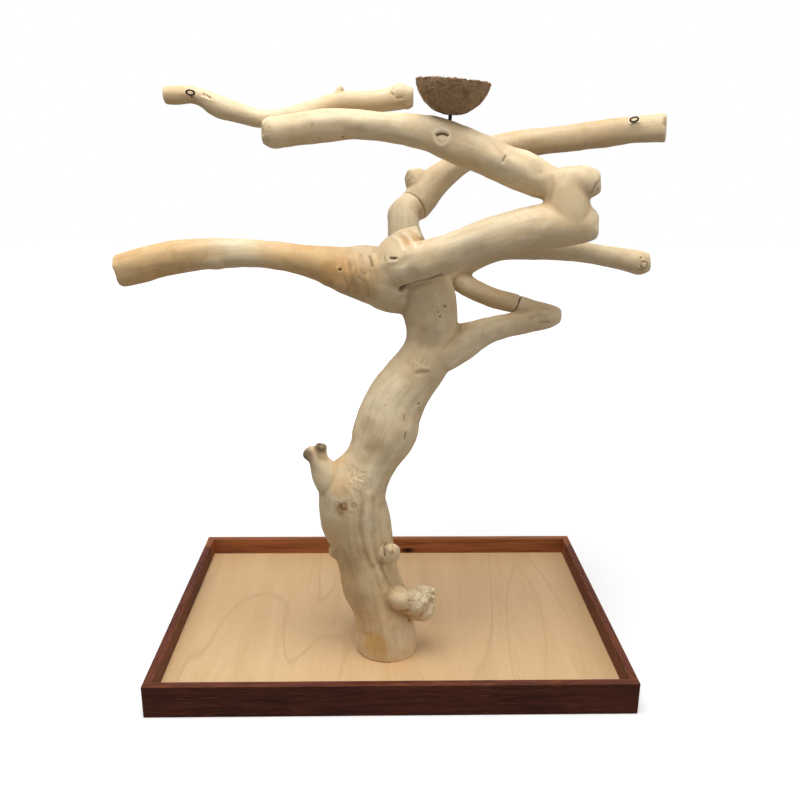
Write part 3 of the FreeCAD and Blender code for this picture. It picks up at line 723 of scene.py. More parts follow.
# %% Marks on the wood
# spots in the picture, width (mm), height (mm), shade, and where not 0 warmth, ring radius (mm)
MARKS_ON_TREE = [
    # crease between the main limb and the trunk's neck, darkened with painted shade from the limb
    # above
    ([(401, 289.5), (405, 287), (420, 282), (441, 276)], 3.6, -10, -1.5),
    # collar of the left limb: knot hole, slit and growth wrinkles
    ([(340, 269.6)], 1.85, -4.5, -1),
    ([(337.5, 268)], 3.5, 1.2, 0.3, 0.3),
    ([(369.6, 256), (371, 261), (372.4, 266)], 1.8, -3.2, -1),
    ([(374, 255), (376, 262), (376, 268)], 4, 1.4, 0.1, 0.2),
    ([(345, 262), (347, 275), (351, 291)], 2.6, 0.9, 0.25, 0.3),
    ([(349, 262), (352, 276), (356, 292)], 2.2, -0.9, -0.15, 0.3),
    ([(355, 254), (358, 272), (363, 293)], 2.6, 0.9, 0.25, 0.3),
    ([(361, 254), (364, 274), (369, 296)], 2.2, -0.8, -0.15, 0.2),
    ([(366, 268), (368, 280), (372, 292)], 2.4, 0.7, 0.2, 0.2),
    # knot pair on the crotch
    ([(393.5, 258.6)], 2.2, -3.5, -1),
    ([(390, 257.5), (393, 258.2), (396.5, 258.6)], 1.6, -3.4, -2),
    ([(389, 261.5), (393, 262.5), (397, 261.5)], 2.0, 1.4, 0.9),
    ([(390, 260), (391, 262.5), (394, 263)], 1.3, -0.8, -0.5),
    ([(385, 256), (383.6, 258), (386, 260.5)], 1.5, -1.2, -0.7),
    # growth bands of the cut stub
    ([(393.5, 236), (400, 241), (404, 249.5)], 2.6, 0.5, 1.7),
    ([(404, 233.2), (411.6, 239.8), (416, 247)], 2.6, 0.5, 1.7),
    ([(414.5, 230.3), (421, 236), (427, 240)], 2.4, 0.4, 1.6),
    ([(398, 234), (406, 240), (410, 248)], 3.0, -0.4, -0.12, 0.25),
    ([(409, 231), (416, 237), (421, 243)], 3.0, -0.4, -0.12, 0.25),
    # pitted pale streak on the neck
    ([(436, 294), (438, 304), (440, 318)], 5.0, 0.8, 0.55, 0.1),
    ([(440, 316.8)], 1.8, -2.4, -0.9),
    ([(437.8, 312)], 1.6, -1.8, -0.7),
    ([(444.9, 306.3)], 1.8, -2.4, -0.8),
    ([(439, 306)], 2.6, 1.0, 0.3),
    ([(443, 313)], 2.6, 1.0, 0.3),
    # folds at the foot of the neck: each raised fold is paled as a painted highlight, with a
    # painted shadow pressed in below it
    ([(416, 369), (422, 367.6), (428, 368.5)], 3.6, 2.0, 0.35),
    ([(417, 373), (422, 373), (427, 372)], 2.6, -1.5, -0.35),
    ([(412, 361), (417, 364), (421, 366)], 3.4, 1.0, 0.2),
    # pits and slits on the bulge
    ([(418.6, 403.6)], 1.7, -2.0, -0.9),
    ([(404.3, 416), (404.6, 422)], 1.5, -1.5, -0.55),
    ([(405.4, 433), (404.6, 439.5)], 1.6, -2.2, -0.9),
    ([(384.5, 405.5)], 1.4, -0.9, -0.5),
    # rounded bark tips of the twin knobs
    ([(306, 456)], 7.5, 6.5, 0),
    ([(321.5, 447)], 8, 7, 0),
    ([(325.5, 448.5)], 1.5, 0.8, 0.7, 0, 2.6),
    ([(309.5, 458)], 1.5, 0.6, 0.5, 0, 2),
    # knots and wrinkles of the lump under the twin knobs
    ([(340, 507.5), (345, 509)], 3.6, -1.2, -0.55, 0.3),
    ([(343, 507)], 2.4, -1.2, -0.5, 0.3, 4.6),
    ([(342, 511)], 3.2, 1.6, -0.1, 0.3),
    ([(353.5, 505.5)], 1.7, -1.0, -0.4, 0, 3.2),
    ([(348, 470), (353, 476), (360, 479)], 2.2, -0.7, -0.2),
    ([(352, 466), (358, 471), (366, 473)], 2.2, -0.7, -0.2),
    ([(350, 473), (356, 479), (364, 483)], 1.8, 0.8, 0.2),
    ([(354, 490), (360, 492), (362, 500)], 2.2, -0.6, -0.2),
    ([(346, 487), (352, 493), (356, 503)], 3.0, 1.0, 0.35),
    # flutes down the trunk
    ([(362, 505), (360, 526), (364, 548), (371, 566)], 5, -2.0, -0.2),
    ([(368, 494), (367, 520), (368, 545), (373, 562)], 4.4, 1.8, 0.35),
    ([(374, 500), (374, 525), (376, 550), (381, 570)], 4.4, -1.4, -0.15),
    ([(351, 517), (351, 535), (355, 556)], 4.0, 1.2, 0.12, 0.1),
    ([(382, 560), (384, 572), (391, 588)], 3.6, -2.2, -0.3),
    ([(377, 566), (380, 578), (385, 592)], 3.0, 1.6, 0.4),
    # round knot with its bark ring
    ([(386, 543), (384, 549), (385, 556)], 2.0, -2.2, -1.4),
    ([(391, 548)], 5.0, 1.6, 0.25, 0.1),
    ([(391, 545), (394, 549)], 2.2, -0.8, -0.3, 0.2),
    ([(390, 552), (394, 554)], 2.2, -0.8, -0.3, 0.2),
    # smooth ball and rough burl of the foot
    ([(398, 598)], 9.0, 1.5, 0.45, -0.1),
    ([(402, 586), (408, 591), (409, 600), (407, 611)], 2.0, -2.6, -0.6),
    ([(403, 584), (411, 587), (420, 590)], 1.6, -2.0, -0.6),
    ([(412, 594), (411, 603), (408, 612)], 1.8, 1.6, 0.3),
    ([(416, 592), (419, 600), (416, 611)], 1.8, -1.8, -0.3),
    ([(409, 620)], 1.8, -2.2, -1),
    ([(424, 606), (422, 614), (416, 620)], 2.0, -1.6, -0.4, 0.1),
    ([(419, 586), (427, 590), (430, 597)], 2.2, 2.0, 0.4),
    # eye-shaped knot on the top arm
    ([(441.6, 137)], 3.0, 2.0, 0.9, 0, 12),
    ([(436.5, 135.6), (439, 134.2), (442, 133.8), (445, 134.2), (447.5, 135.6)], 1.7, -5, -2),
    ([(439, 139), (442, 141), (446, 139)], 2.4, 0.8, 0.5),
    # branch bark ridge and slit
    ([(505.3, 156), (503.6, 161)], 1.9, -3.6, -1),
    ([(512, 147), (506.5, 152), (505, 158), (503.6, 167)], 2.6, 1.1, 0.3),
    ([(494, 144), (499, 150), (502.5, 157)], 5, -1.8, -0.05),
    # faint crease at the elbow seam, darkened a little with painted shade
    ([(552.6, 177), (553.5, 186), (549.8, 202)], 4.0, -1.0, -0.08, 0.1),
    # notch between the elbow's knobs
    ([(600, 180), (596, 186), (590.5, 193)], 2.2, -2.0, -0.6),
    ([(598.5, 188), (593, 196)], 1.8, -1.8, -0.6),
    # small marks on the top arm
    ([(311.6, 125.3)], 3.2, -1.6, -0.45),
    ([(343, 137)], 1.8, -1.2, -0.8),
    ([(263, 126), (262, 132)], 2.6, -1.6, -0.3),
    ([(363, 118)], 3.6, -1.2, -0.1),
    # side fork: pocket that takes the brace, darkened with painted shade, and rough bark of its end
    ([(516.5, 304.5), (514, 309)], 2.2, -2.6, -0.9),
    ([(530, 318), (538, 315), (546, 318)], 3.4, -1.4, -0.25, 0.1),
    ([(540, 311), (548, 312), (553, 314)], 2.4, 1.4, 0.3),
    ([(541, 322), (549, 322)], 2.2, -1.4, -0.4),
    ([(555, 312), (556, 320)], 2.6, 1.0, 0.45),
]
MARKS = {
    "tree": MARKS_ON_TREE,
    "back_branch": [
        # back branch: hollow, step, crease under its knob
        ([(203.5, 94.3), (207, 95.6), (210.5, 97.4)], 2.2, -3.4, -0.6),
        ([(202, 96.6), (207, 98.4), (212, 100.4)], 1.8, 1.0, 0.3),
        ([(392, 93), (396, 98.4), (402, 98)], 2.2, -1.8, -0.6),
        ([(398.5, 90.5)], 5.5, 2.4, 0.2),
    ],
    "rear_arm": [
        # rear arm: radial crack in its end, edge of its knob
        ([(665, 117), (664.8, 124)], 2.4, -2.2, -0.95),
        ([(403, 175), (404, 180)], 1.8, -1.6, -0.8),
    ],
    "rear_fork": [
        # lower right limb: knots of its blunt end
        ([(640.6, 258)], 1.5, -1.6, -1),
        ([(644, 265.5)], 1.6, -1.6, -0.6, 0, 5),
        ([(644, 265.5)], 3.0, 1.2, 0.1),
        ([(638.5, 269.5), (643, 270.5)], 1.7, -1.8, -0.8),
    ],
}
print("marks:", sum(len(rows) for rows in MARKS.values()))

# %% [markdown]
# Two kinds of patches go with the marks. A stain only tints the wood; a few of the tints are
# painted light, a painted highlight on the middle of the trunk's bulge and painted shade on its
# lower side.
# A rough patch lifts the wood in flakes, as bark or a burl does, and small pulls draw spikes out of
# the burl on the foot.

# %% Stains, painted light and rough patches
# spot in the picture, radius (mm), shade, warmth
STAINS_AND_PAINTED_LIGHT_ON_TREE = [
    (150, 262, 130, -0.06, 0.68),
    (300, 262, 90, -0.06, 0.7),
    (350, 280, 60, -0.16, 0.5),
    (430, 336, 26, -0.3, 0.05),
    # painted highlight on the middle of the trunk's bulge, painted shade on its lower side
    (384, 402, 38, 0.2, -0.3),
    (368, 425, 20, -0.25, -0.05),
    (376, 446, 26, -0.2, 0.15),
    (342, 486, 24, 0.12, 0.55),
    (341, 509, 15, -0.28, 0.5),
    (340, 460, 22, 0.05, 0.4),
    (352, 590, 130, -0.05, 0.5),
    (345, 560, 40, -0.12, -0.15),
    (356, 600, 40, -0.1, -0.1),
    (375, 645, 30, -0.05, 0.75),
    (401, 646, 14, 0.25, 0.0),
    (415, 600, 26, 0.3, -0.15),
    (480, 240, 60, 0.05, -0.25),
    (410, 240, 22, 0.02, 0.45),
    (305, 455, 15, -0.8, 0.2),
    (321.5, 445, 16, -0.8, 0.2),
]
STAINS_AND_PAINTED_LIGHT = {
    "tree": STAINS_AND_PAINTED_LIGHT_ON_TREE,
    "back_branch": [(180, 96, 40, -0.05, 0.3)],
    "rear_arm": [(560, 138, 150, -0.14, 0.2)],
    "rear_fork": [(500, 300, 60, -0.12, 0.3)],
}
# spot in the picture, radius (mm), height (mm), size of the flakes (mm)
ROUGH_ON_TREE = [
    (418, 600, 26, 2.4, 12),
    (427, 594, 15, 1.6, 7),
    (391.7, 548.8, 14, 1.7, 8),
    (307, 453, 9, 0.9, 5),
    (321.5, 446, 11, 0.9, 5),
    (597, 187, 12, 0.8, 7),
    (345, 507, 22, 0.5, 8),
    (358, 480, 26, 0.45, 6),
    (358, 275, 26, 0.3, 11),
    (440, 309, 16, 0.5, 6),
    (420, 366, 16, 0.3, 9),
    (264, 131, 16, 0.8, 7),
    (336, 551, 9, 1.4, 5),
]
ROUGH = {
    "tree": ROUGH_ON_TREE,
    "back_branch": [(396, 93, 14, 0.5, 9)],
    "rear_fork": [(644, 262, 14, 0.9, 5)],
    "rear_arm": [(410, 178, 14, 0.9, 6)],
}
# on the tree's burl: spot in the picture, radius (mm), right and down (picture pixels)
SPIKES = [
    (431, 591, 4.5, 3.5, -2),
    (432.5, 597, 4, 3, 1.5),
    (431, 605, 5, 2, 1),
    (429, 613, 5, 1.5, 1),
]
print("stains:", sum(len(rows) for rows in STAINS_AND_PAINTED_LIGHT.values()))

# %% [markdown]
# Small marks need a finer net, so the skin is divided round them first. A stroke is strongest on
# its line and fades as a bell curve does. Pits stay sharp and straight. The other strokes are
# weaker, and noise bends the thin ones, so that none of them looks drawn.

# %% Marks worked into the skin
# how much of the written height and shade the strokes get, and how far noise bends them
STROKE_HEIGHT = 0.62
STROKE_SHADE = 0.5
STROKE_BEND = 1.4 * MM
BEND_SIZE = 9 * MM
# a narrow mark of one spot is a pit, a wide stroke isn't bent, and a broad one goes round the limb
PIT_WIDTH = 1.9
STRAIGHT_WIDTH = 3.3
BROAD = 6
FACING_LIMIT = -0.3
ALL_ROUND = -2
SMALL_MARK = 2.7
FINE_REACH = 7 * MM
CRAG_GAIN = 1.6
CRAG_LEVEL = 0.7
CRAG_SHADE = 0.3
CRAG_PALEST = 0.4
CRAG_OCTAVES = 3
TINY = 1e-12


def stroke_distance(rows, line, ring):
    """How far each row is from a line through places, or from a ring round a single place."""
    best = np.full(len(rows), np.inf)
    for start, end in list(zip(line, line[1:])) or [(line[0], line[0])]:
        start = np.array(start)
        along = np.array(end) - start
        share = np.clip(((rows - start) @ along) / max(along @ along, TINY), 0, 1)
        best = np.minimum(best, np.linalg.norm(rows - start - share[:, None] * along, axis=1))
    return np.abs(best - ring * MM)


def refine(skin, places):
    """Divides the faces round the given places."""
    shape = bmesh.new()
    shape.from_mesh(skin.data)
    rows = np.array([vertex.co for vertex in shape.verts])
    near = np.zeros(len(rows), dtype=bool)
    for place, reach in places:
        near |= ((rows - np.array(place)) ** 2).sum(axis=1) < reach**2
    edges = [e for e in shape.edges if near[e.verts[0].index] and near[e.verts[1].index]]
    bmesh.ops.subdivide_edges(shape, edges=edges, cuts=1, use_grid_fill=True)
    shape.to_mesh(skin.data)
    shape.free()


tone = {}
for name, skin in wood.items():
    tree = skin_tree(skin)
    marks = [(*mark, 0, 0)[:6] for mark in MARKS[name]]
    paths = [[spot(tree, u, v)[0] for u, v in mark[0]] for mark in marks]
    facings = [np.array(spot(tree, *mark[0][0])[1]) for mark in marks]
    flakes = [(spot(tree, u, v)[0], *sizes) for u, v, *sizes in ROUGH[name]]
    small = [(path, mark[5]) for mark, path in zip(marks, paths) if mark[1] <= SMALL_MARK]
    fine = [(place, FINE_REACH + ring * MM) for path, ring in small for place in path]
    refine(skin, fine + [(place, radius * MM) for place, radius, _, _ in flakes])
    for u, v, *sizes in SPIKES if name == "tree" else []:
        pull(skin, spot(tree, u, v)[0], *sizes)
    rows = points_of(skin)
    normals = normals_of(skin)
    height, shade, warmth = np.zeros((3, len(rows)))
    bends = np.array([noise.noise_vector(Vector(row) / BEND_SIZE) for row in rows])
    bent = rows + STROKE_BEND * bends
    for (_, width, rise, dark, warm, ring), path, facing in zip(marks, paths, facings):
        pit = width < PIT_WIDTH and ring == 0 and len(path) == 1
        gap = stroke_distance(rows if pit or width > STRAIGHT_WIDTH else bent, path, ring)
        limit = FACING_LIMIT if width < BROAD else ALL_ROUND
        weight = np.exp(-((gap / (width * MM)) ** 2)) * (normals @ facing > limit)
        height += weight * rise * MM * (1 if pit else STROKE_HEIGHT)
        shade += weight * dark * (1 if pit else STROKE_SHADE)
        warmth += weight * warm
    for u, v, radius, dark, warm in STAINS_AND_PAINTED_LIGHT[name]:
        weight = fall_off(rows, spot(tree, u, v)[0], radius)
        shade += weight * dark
        warmth += weight * warm
    for place, radius, tall, size in flakes:
        weight = fall_off(rows, place, radius)
        for index in np.flatnonzero(weight):
            where = Vector(rows[index]) / (size * MM)
            crag = noise.turbulence(where, CRAG_OCTAVES, True) * CRAG_GAIN - CRAG_LEVEL
            height[index] += weight[index] * tall * crag * MM
            shade[index] += weight[index] * CRAG_SHADE * min(crag, CRAG_PALEST)
    set_points(skin, rows + normals * height[:, None])
    tone[name] = (np.clip(shade, -1, 1), np.clip(warmth, -1, 1))
    print(f"{name}: {len(marks)} marks, {len(rows)} vertices")

# %% [markdown]
# The shared blank is sawn up again, so that every limb is a piece of its own. Each face goes to the
# CAD limb whose skin is nearest. The cut loops are closed with fans of triangles inside the wood,
# and the faces keep the normals that they had in the blank, so that no seam shows where the real
# joint has been sanded flush.

# %% Limbs as separate pieces
SETTLE_ROUNDS = 6
OWN_VOTE = 0.5


def nearest_member(members, centres):
    """For each centre, the index of the CAD limb with the nearest surface."""
    corners, faces, owners = [], [], []
    for number, member in enumerate(members):
        mesh = nodes[member].data
        first = len(corners)
        corners.extend(vertex.co.copy() for vertex in mesh.vertices)
        faces.extend([first + index for index in face.vertices] for face in mesh.polygons)
        owners.extend([number] * len(mesh.polygons))
    tree = BVHTree.FromPolygons(corners, faces)
    return np.array([owners[tree.find_nearest(Vector(centre))[2]] for centre in centres])


def face_pairs(mesh):
    """The two faces at each edge of a closed mesh."""
    edge_of = counts_of(mesh.loops, "edge_index")
    sizes = counts_of(mesh.polygons, "loop_total")
    face_of = np.repeat(np.arange(len(sizes)), sizes)
    return face_of[np.argsort(edge_of, kind="stable")].reshape(-1, 2)


def settled(owner, pairs, count):
    """Gives each face the owner that most of its neighbours have, so the cuts run clean."""
    for _ in range(SETTLE_ROUNDS):
        votes = np.zeros((count, len(owner)))
        for candidate in range(count):
            for here, there in ((0, 1), (1, 0)):
                agree = owner[pairs[:, there]] == candidate
                votes[candidate] += np.bincount(pairs[:, here], agree, len(owner))
        votes[owner, np.arange(len(owner))] += OWN_VOTE
        owner = votes.argmax(axis=0)
    return owner


def close_cuts(shape):
    """Closes each open loop with a fan round a point in its middle."""
    open_edges = [edge for edge in shape.edges if len(edge.link_faces) == 1]
    closed = 0
    while open_edges:
        chain = [open_edges.pop()]
        grown = True
        while grown:
            grown = False
            for edge in list(open_edges):
                if any(v in chain[-1].verts or v in chain[0].verts for v in edge.verts):
                    chain.append(edge)
                    open_edges.remove(edge)
                    grown = True
        corners = {v for edge in chain for v in edge.verts}
        middle = sum((v.co for v in corners), Vector()) / len(corners)
        hub = shape.verts.new(middle)
        for edge in chain:
            loop = edge.link_loops[0]
            face = shape.faces.new((loop.link_loop_next.vert, loop.vert, hub))
            face.smooth = False
        closed += 1
    return closed


print("settling rounds:", SETTLE_ROUNDS)

# %% [markdown]
# Each blank is cut up. The third number of the tone attribute says where the skin bulges or dips,
# because a sander pales the ridges, while the hollows are browned as painted shade.

# %% Sawing
BULGE_RUBS = 12
BULGE_HEIGHT = 0.5 * MM


def bulges(skin, normals):
    """1 on ridges, -1 in hollows, 0 where the skin is even."""
    rows = points_of(skin)
    even = rubbed(rows.copy(), edges_of(skin), BULGE_RUBS)
    height = ((rows - even) * normals).sum(axis=1) / BULGE_HEIGHT
    return np.clip(height - np.median(height), -1, 1)


def saw(name):
    """Splits a blank into its limbs and returns them by node."""
    skin = wood[name]
    members = BLANKS[name][0]
    normals = normals_of(skin)
    shade, warmth = tone[name]
    bulge = bulges(skin, normals)
    owner = np.zeros(len(skin.data.polygons), dtype=np.int64)
    if len(members) > 1:
        owner = nearest_member(members, rows_of(skin.data.polygons, "center"))
        owner = settled(owner, face_pairs(skin.data), len(members))
    add_attribute(skin.data, "source", "INT", np.arange(len(shade)) + 1)
    made = {}
    for number, node in enumerate(members):
        part = bmesh.new()
        part.from_mesh(skin.data)
        part.faces.ensure_lookup_table()
        others = [part.faces[index] for index in np.flatnonzero(owner != number)]
        bmesh.ops.delete(part, geom=others, context="FACES")
        cuts = close_cuts(part)
        mesh = bpy.data.meshes.new("wood_" + node)
        part.to_mesh(mesh)
        part.free()
        limb = new_object("wood_" + node, mesh)
        source = counts_of(mesh.attributes["source"].data, "value")
        mesh.attributes.remove(mesh.attributes["source"])
        known = source > 0
        safe = np.where(known, source - 1, 0)
        colors = np.stack([shade, warmth, bulge], axis=1)[safe]
        add_attribute(mesh, "tone", "FLOAT_VECTOR", np.where(known[:, None], colors, 0))
        keep_normals(mesh, normals[safe], known)
        made[node] = limb
        print(f"{node}: {len(mesh.polygons)} faces, {cuts} cuts closed")
    bpy.data.objects.remove(skin)
    return made


def keep_normals(mesh, normals, known):
    """The skin's corners keep the blank's normals; the sawn faces keep their own."""
    corners = counts_of(mesh.loops, "vertex_index")
    starts = counts_of(mesh.polygons, "loop_start")
    outside = np.minimum.reduceat(known[corners].astype(int), starts) > 0
    mesh.polygons.foreach_set("use_smooth", outside)
    sizes = np.diff(np.append(starts, len(corners)))
    inner = np.repeat(~outside, sizes)[:, None]
    flat = np.repeat(rows_of(mesh.polygons, "normal"), sizes, axis=0)
    mesh.normals_split_custom_set(np.where(inner, flat, normals[corners]).tolist())


limbs = {}
for name in list(wood):
    limbs.update(saw(name))

# %% [markdown]
# Finishes are node materials. What several of them share is kept in node groups: fibres that run
# along the grain, patches of uneven colour, and a change of tone that follows the marks. Two more
# helpers lay one colour over another, and feed the finished values to the shader and its bump.

# %% Helpers for finishes
PLAIN_SPECULAR = 0.5


def new_group(name, inputs, outputs):
    """An empty shader group. A socket called Vector or Color holds one, any other a number."""
    tree = bpy.data.node_groups.new(name, "ShaderNodeTree")
    for labels, side in ((inputs, "INPUT"), (outputs, "OUTPUT")):
        for label in labels.split():
            kind = label if label in ("Vector", "Color") else "Float"
            tree.interface.new_socket(label, in_out=side, socket_type="NodeSocket" + kind)
    print("group:", name)
    given = tree.nodes.new("NodeGroupInput").outputs
    result = tree.nodes.new("NodeGroupOutput").inputs
    return tree, given, result


def use(tree, group, **sockets):
    """Adds a group to a material and fills its sockets."""
    return node(tree, "Group", sockets, node_tree=group).outputs


def blend(tree, share, first, second, mode="MIX"):
    """A colour between two, by a share."""
    sockets = {0: share, 6: first, 7: second}
    return node(tree, "Mix", sockets, data_type="RGBA", blend_type=mode).outputs[2]


def layered(tree, color, *layers):
    """Lays colours over a colour, each with its own share."""
    for share, paint in layers:
        color = blend(tree, share, color, paint)
    return color


def cloud(tree, vector, scale, detail=2.0, roughness=0.5, warp=0.0):
    """Noise between 0 and 1."""
    sockets = {"Vector": vector, "Scale": scale, "Detail": detail, "Roughness": roughness}
    return node(tree, "TexNoise", {**sockets, "Distortion": warp}).outputs["Fac"]


def attribute(tree, name):
    return node(tree, "Attribute", attribute_name=name).outputs


def finish_of(name):
    """A new material, with its node tree and the Object coordinates."""
    finish = bpy.data.materials.new(name)
    finish.use_nodes = True
    tree = finish.node_tree
    return finish, tree, node(tree, "TexCoord").outputs["Object"]


def complete(finish, color, roughness, bumps, specular=PLAIN_SPECULAR, metallic=0.0):
    """Feeds a material's shader. The bumps are a height's output, a strength and a depth."""
    tree = finish.node_tree
    bump = node(tree, "Bump", dict(zip(("Height", "Strength", "Distance"), bumps)))
    for label, value in (
        ("Base Color", color),
        ("Roughness", roughness),
        ("Specular IOR Level", specular),
        ("Metallic", metallic),
        ("Normal", bump.outputs[0]),
    ):
        fill(tree, tree.nodes["Principled BSDF"].inputs[label], value)
    print("finish:", finish.name)


# %% [markdown]
# Fibres: noise on coordinates that are squeezed across the grain and drawn out along it. The vector
# holds across, over and along, in metres. The group gives broad streaks, fine threads, and a height
# for the bump.

# %% Fibres
THREAD_SCALE = 4.3

FIBRES, given, result = new_group("fibres", "Vector Across Along Warp", "Streaks Threads Height")
squeeze = node(FIBRES, "CombineXYZ", {0: given["Across"], 1: given["Across"], 2: given["Along"]})
drawn = stretched(FIBRES, given["Vector"], squeeze.outputs[0])
streaks = cloud(FIBRES, drawn, 1.0, 3.0, 0.55, given["Warp"])
threads = cloud(FIBRES, drawn, THREAD_SCALE, 2.0, 0.6, given["Warp"])
FIBRES.links.new(streaks, result["Streaks"])
FIBRES.links.new(threads, result["Threads"])
FIBRES.links.new(product(FIBRES, streaks, threads), result["Height"])

# %% [markdown]
# Patches: a soft, large mottling that no real surface is without. It gives 0 to 1 with most of the
# surface near a half.

# %% Patches
SPECK_SCALE = 22.0

PATCHES, given, result = new_group("patches", "Vector Scale", "Soft Specks")
soft = cloud(PATCHES, given["Vector"], given["Scale"], 4.0, 0.6, 0.6)
specks = cloud(PATCHES, given["Vector"], product(PATCHES, given["Scale"], SPECK_SCALE))
PATCHES.links.new(spread(PATCHES, soft, 0.3, 0.7), result["Soft"])
PATCHES.links.new(spread(PATCHES, specks, 0.62, 0.74), result["Specks"])

# %% [markdown]
# Tone: darkens or pales a colour by its shade, from -1 to 1, and turns it golden or grey by its
# warmth. Marks and stains on the wood reach the material this way. Part of the darkening is painted
# shade, in creases and on the lower side of the trunk's bulge, and part of the paling is a painted
# highlight, on folds and on the bulge's middle.

# %% Tone
PIT_AND_SHADE_BROWN = (0.075, 0.042, 0.022, 1)
WORN_AND_HIGHLIGHT_PALE = (0.86, 0.74, 0.55, 1)
GOLDEN = (1.0, 0.74, 0.42, 1)
GREYED = (0.82, 0.9, 0.98, 1)
MOST_PALE = 0.75
MOST_TINT = 0.9

TONE, given, result = new_group("tone", "Color Shade Warmth", "Color")
golden = spread(TONE, given["Warmth"], 0.0, 1.0, MOST_TINT)
greyer = spread(TONE, given["Warmth"], 0.0, -1.0, MOST_TINT)
toned = blend(TONE, golden, given["Color"], GOLDEN, "MULTIPLY")
toned = blend(TONE, greyer, toned, GREYED, "MULTIPLY")
toned = layered(
    TONE,
    toned,
    # pale for wear and painted highlights, brown for pits and painted shade
    (spread(TONE, given["Shade"], 0.0, 1.0, MOST_PALE), WORN_AND_HIGHLIGHT_PALE),
    (spread(TONE, given["Shade"], 0.0, -1.0), PIT_AND_SHADE_BROWN),
)
TONE.links.new(toned, result["Color"])

# %% [markdown]
# Bare wood: a peeled and sanded hardwood limb. Pale ridges, worn by the sander, and hollows browned
# as painted shade come from the tone attribute's third number, golden and greyish stretches from
# patches, and thin streaks from the fibres. Cut ends show rings instead of fibres.

# %% Bare wood
WOOD_PALE = (0.78, 0.655, 0.445, 1)
WOOD_MID = (0.64, 0.495, 0.295, 1)
WOOD_BROWN = (0.44, 0.29, 0.14, 1)
WOOD_PINK = (0.66, 0.455, 0.25, 1)
RING_PALE = (0.66, 0.49, 0.33, 1)
RING_DARK = (0.36, 0.21, 0.11, 1)
RINGS_PER_METRE = 330
RING_WAVER = 0.006
SPECK_SHARE = 0.35

bare_wood, tree, spot_of = finish_of("peeled_wood")
grain = attribute(tree, "grain")["Vector"]
calm = attribute(tree, "calm")["Fac"]
paint = node(tree, "SeparateXYZ", {0: attribute(tree, "tone")["Vector"]}).outputs
fibres = use(tree, FIBRES, Vector=grain, Across=95.0, Along=8.0, Warp=0.5)
mottle = use(tree, PATCHES, Vector=spot_of, Scale=14.0)
blotch = use(tree, PATCHES, Vector=spot_of, Scale=38.0)
streak = product(tree, spread(tree, fibres["Streaks"], 0.36, 0.64, 0.62), calm)
streak = math_of(tree, "ADD", streak, spread(tree, blotch["Soft"], 0.0, 1.0, 0.35))
thread = product(tree, spread(tree, fibres["Threads"], 0.52, 0.74, 0.3), calm)
from_pith = length_of(tree, stretched(tree, grain, (1, 1, 0)))
waver = product(tree, cloud(tree, spot_of, 60.0), RING_WAVER)
ring = product(tree, math_of(tree, "ADD", from_pith, waver), RINGS_PER_METRE)
ring_line = spread(tree, math_of(tree, "PINGPONG", ring, 0.5), 0.0, 0.3, 0.0, 0.5)
color = layered(
    tree,
    blend(tree, streak, WOOD_MID, WOOD_PALE),
    (spread(tree, mottle["Soft"], 0.3, 0.9, 0.5), WOOD_PINK),
    (thread, WOOD_BROWN),
    (spread(tree, blotch["Soft"], 0.55, 1.0, 0.34), WOOD_BROWN),
    # brown in the hollows is painted shade, pale on the ridges is sanding wear
    (spread(tree, paint["Z"], -0.15, -1.0, 0.5), WOOD_BROWN),
    (spread(tree, paint["Z"], 0.1, 1.0, 0.4), WOOD_PALE),
    (attribute(tree, "end")["Fac"], blend(tree, ring_line, RING_PALE, RING_DARK)),
)
color = use(tree, TONE, Color=color, Shade=paint["X"], Warmth=paint["Y"])["Color"]
color = blend(tree, product(tree, mottle["Specks"], SPECK_SHARE), color, WOOD_BROWN)
sheen = spread(tree, fibres["Streaks"], 0.3, 0.7, 0.52, 0.66)
bumps = (product(tree, fibres["Height"], calm), 0.35, 0.5 * MM)
complete(bare_wood, color, sheen, bumps, specular=0.3)

# %% [markdown]
# Stained rails: solid pine rubbed with a red-brown stain. Streaks of lighter stain follow the
# grain, the eased edges have lost a little of it, and the back rail's inner side is lighter and has
# a knot.

# %% Stained rail
STAIN_DEEP = (0.055, 0.0135, 0.008, 1)
STAIN_MID = (0.135, 0.034, 0.017, 1)
STAIN_LIGHT = (0.30, 0.10, 0.038, 1)
STAIN_BACK = (0.36, 0.125, 0.045, 1)
STAIN_FRONT = (0.03, 0.01, 0.007, 1)
KNOT_DARK = (0.012, 0.005, 0.004, 1)
KNOT_PLACE = (0.040, 0.241, 0.028)
KNOT_STRETCH = (55, 0, 140)
BACK_RAIL = (0.2, 0.22)
FRONT_SKIN = (-0.2528, -0.2532)

stained_rail, tree, spot_of = finish_of("rail_stain")
grain = attribute(tree, "grain")["Vector"]
fibres = use(tree, FIBRES, Vector=grain, Across=130.0, Along=7.0, Warp=0.4)
mottle = use(tree, PATCHES, Vector=spot_of, Scale=9.0)
rich = product(tree, spread(tree, fibres["Threads"], 0.5, 0.72), mottle["Soft"])
rubs = spread(tree, cloud(tree, spot_of, 90.0), 0.42, 0.6, 0.55)
worn = product(tree, attribute(tree, "edge")["Fac"], rubs)
from_knot = node(tree, "VectorMath", {0: spot_of, 1: KNOT_PLACE}, operation="SUBTRACT").outputs[0]
knot_gap = length_of(tree, stretched(tree, from_knot, KNOT_STRETCH))
depth = node(tree, "SeparateXYZ", {0: spot_of}).outputs["Y"]
at_back = spread(tree, depth, *BACK_RAIL)
inner_back = product(tree, at_back, spread(tree, fibres["Streaks"], 0.36, 0.62, 1.0, 0.45))
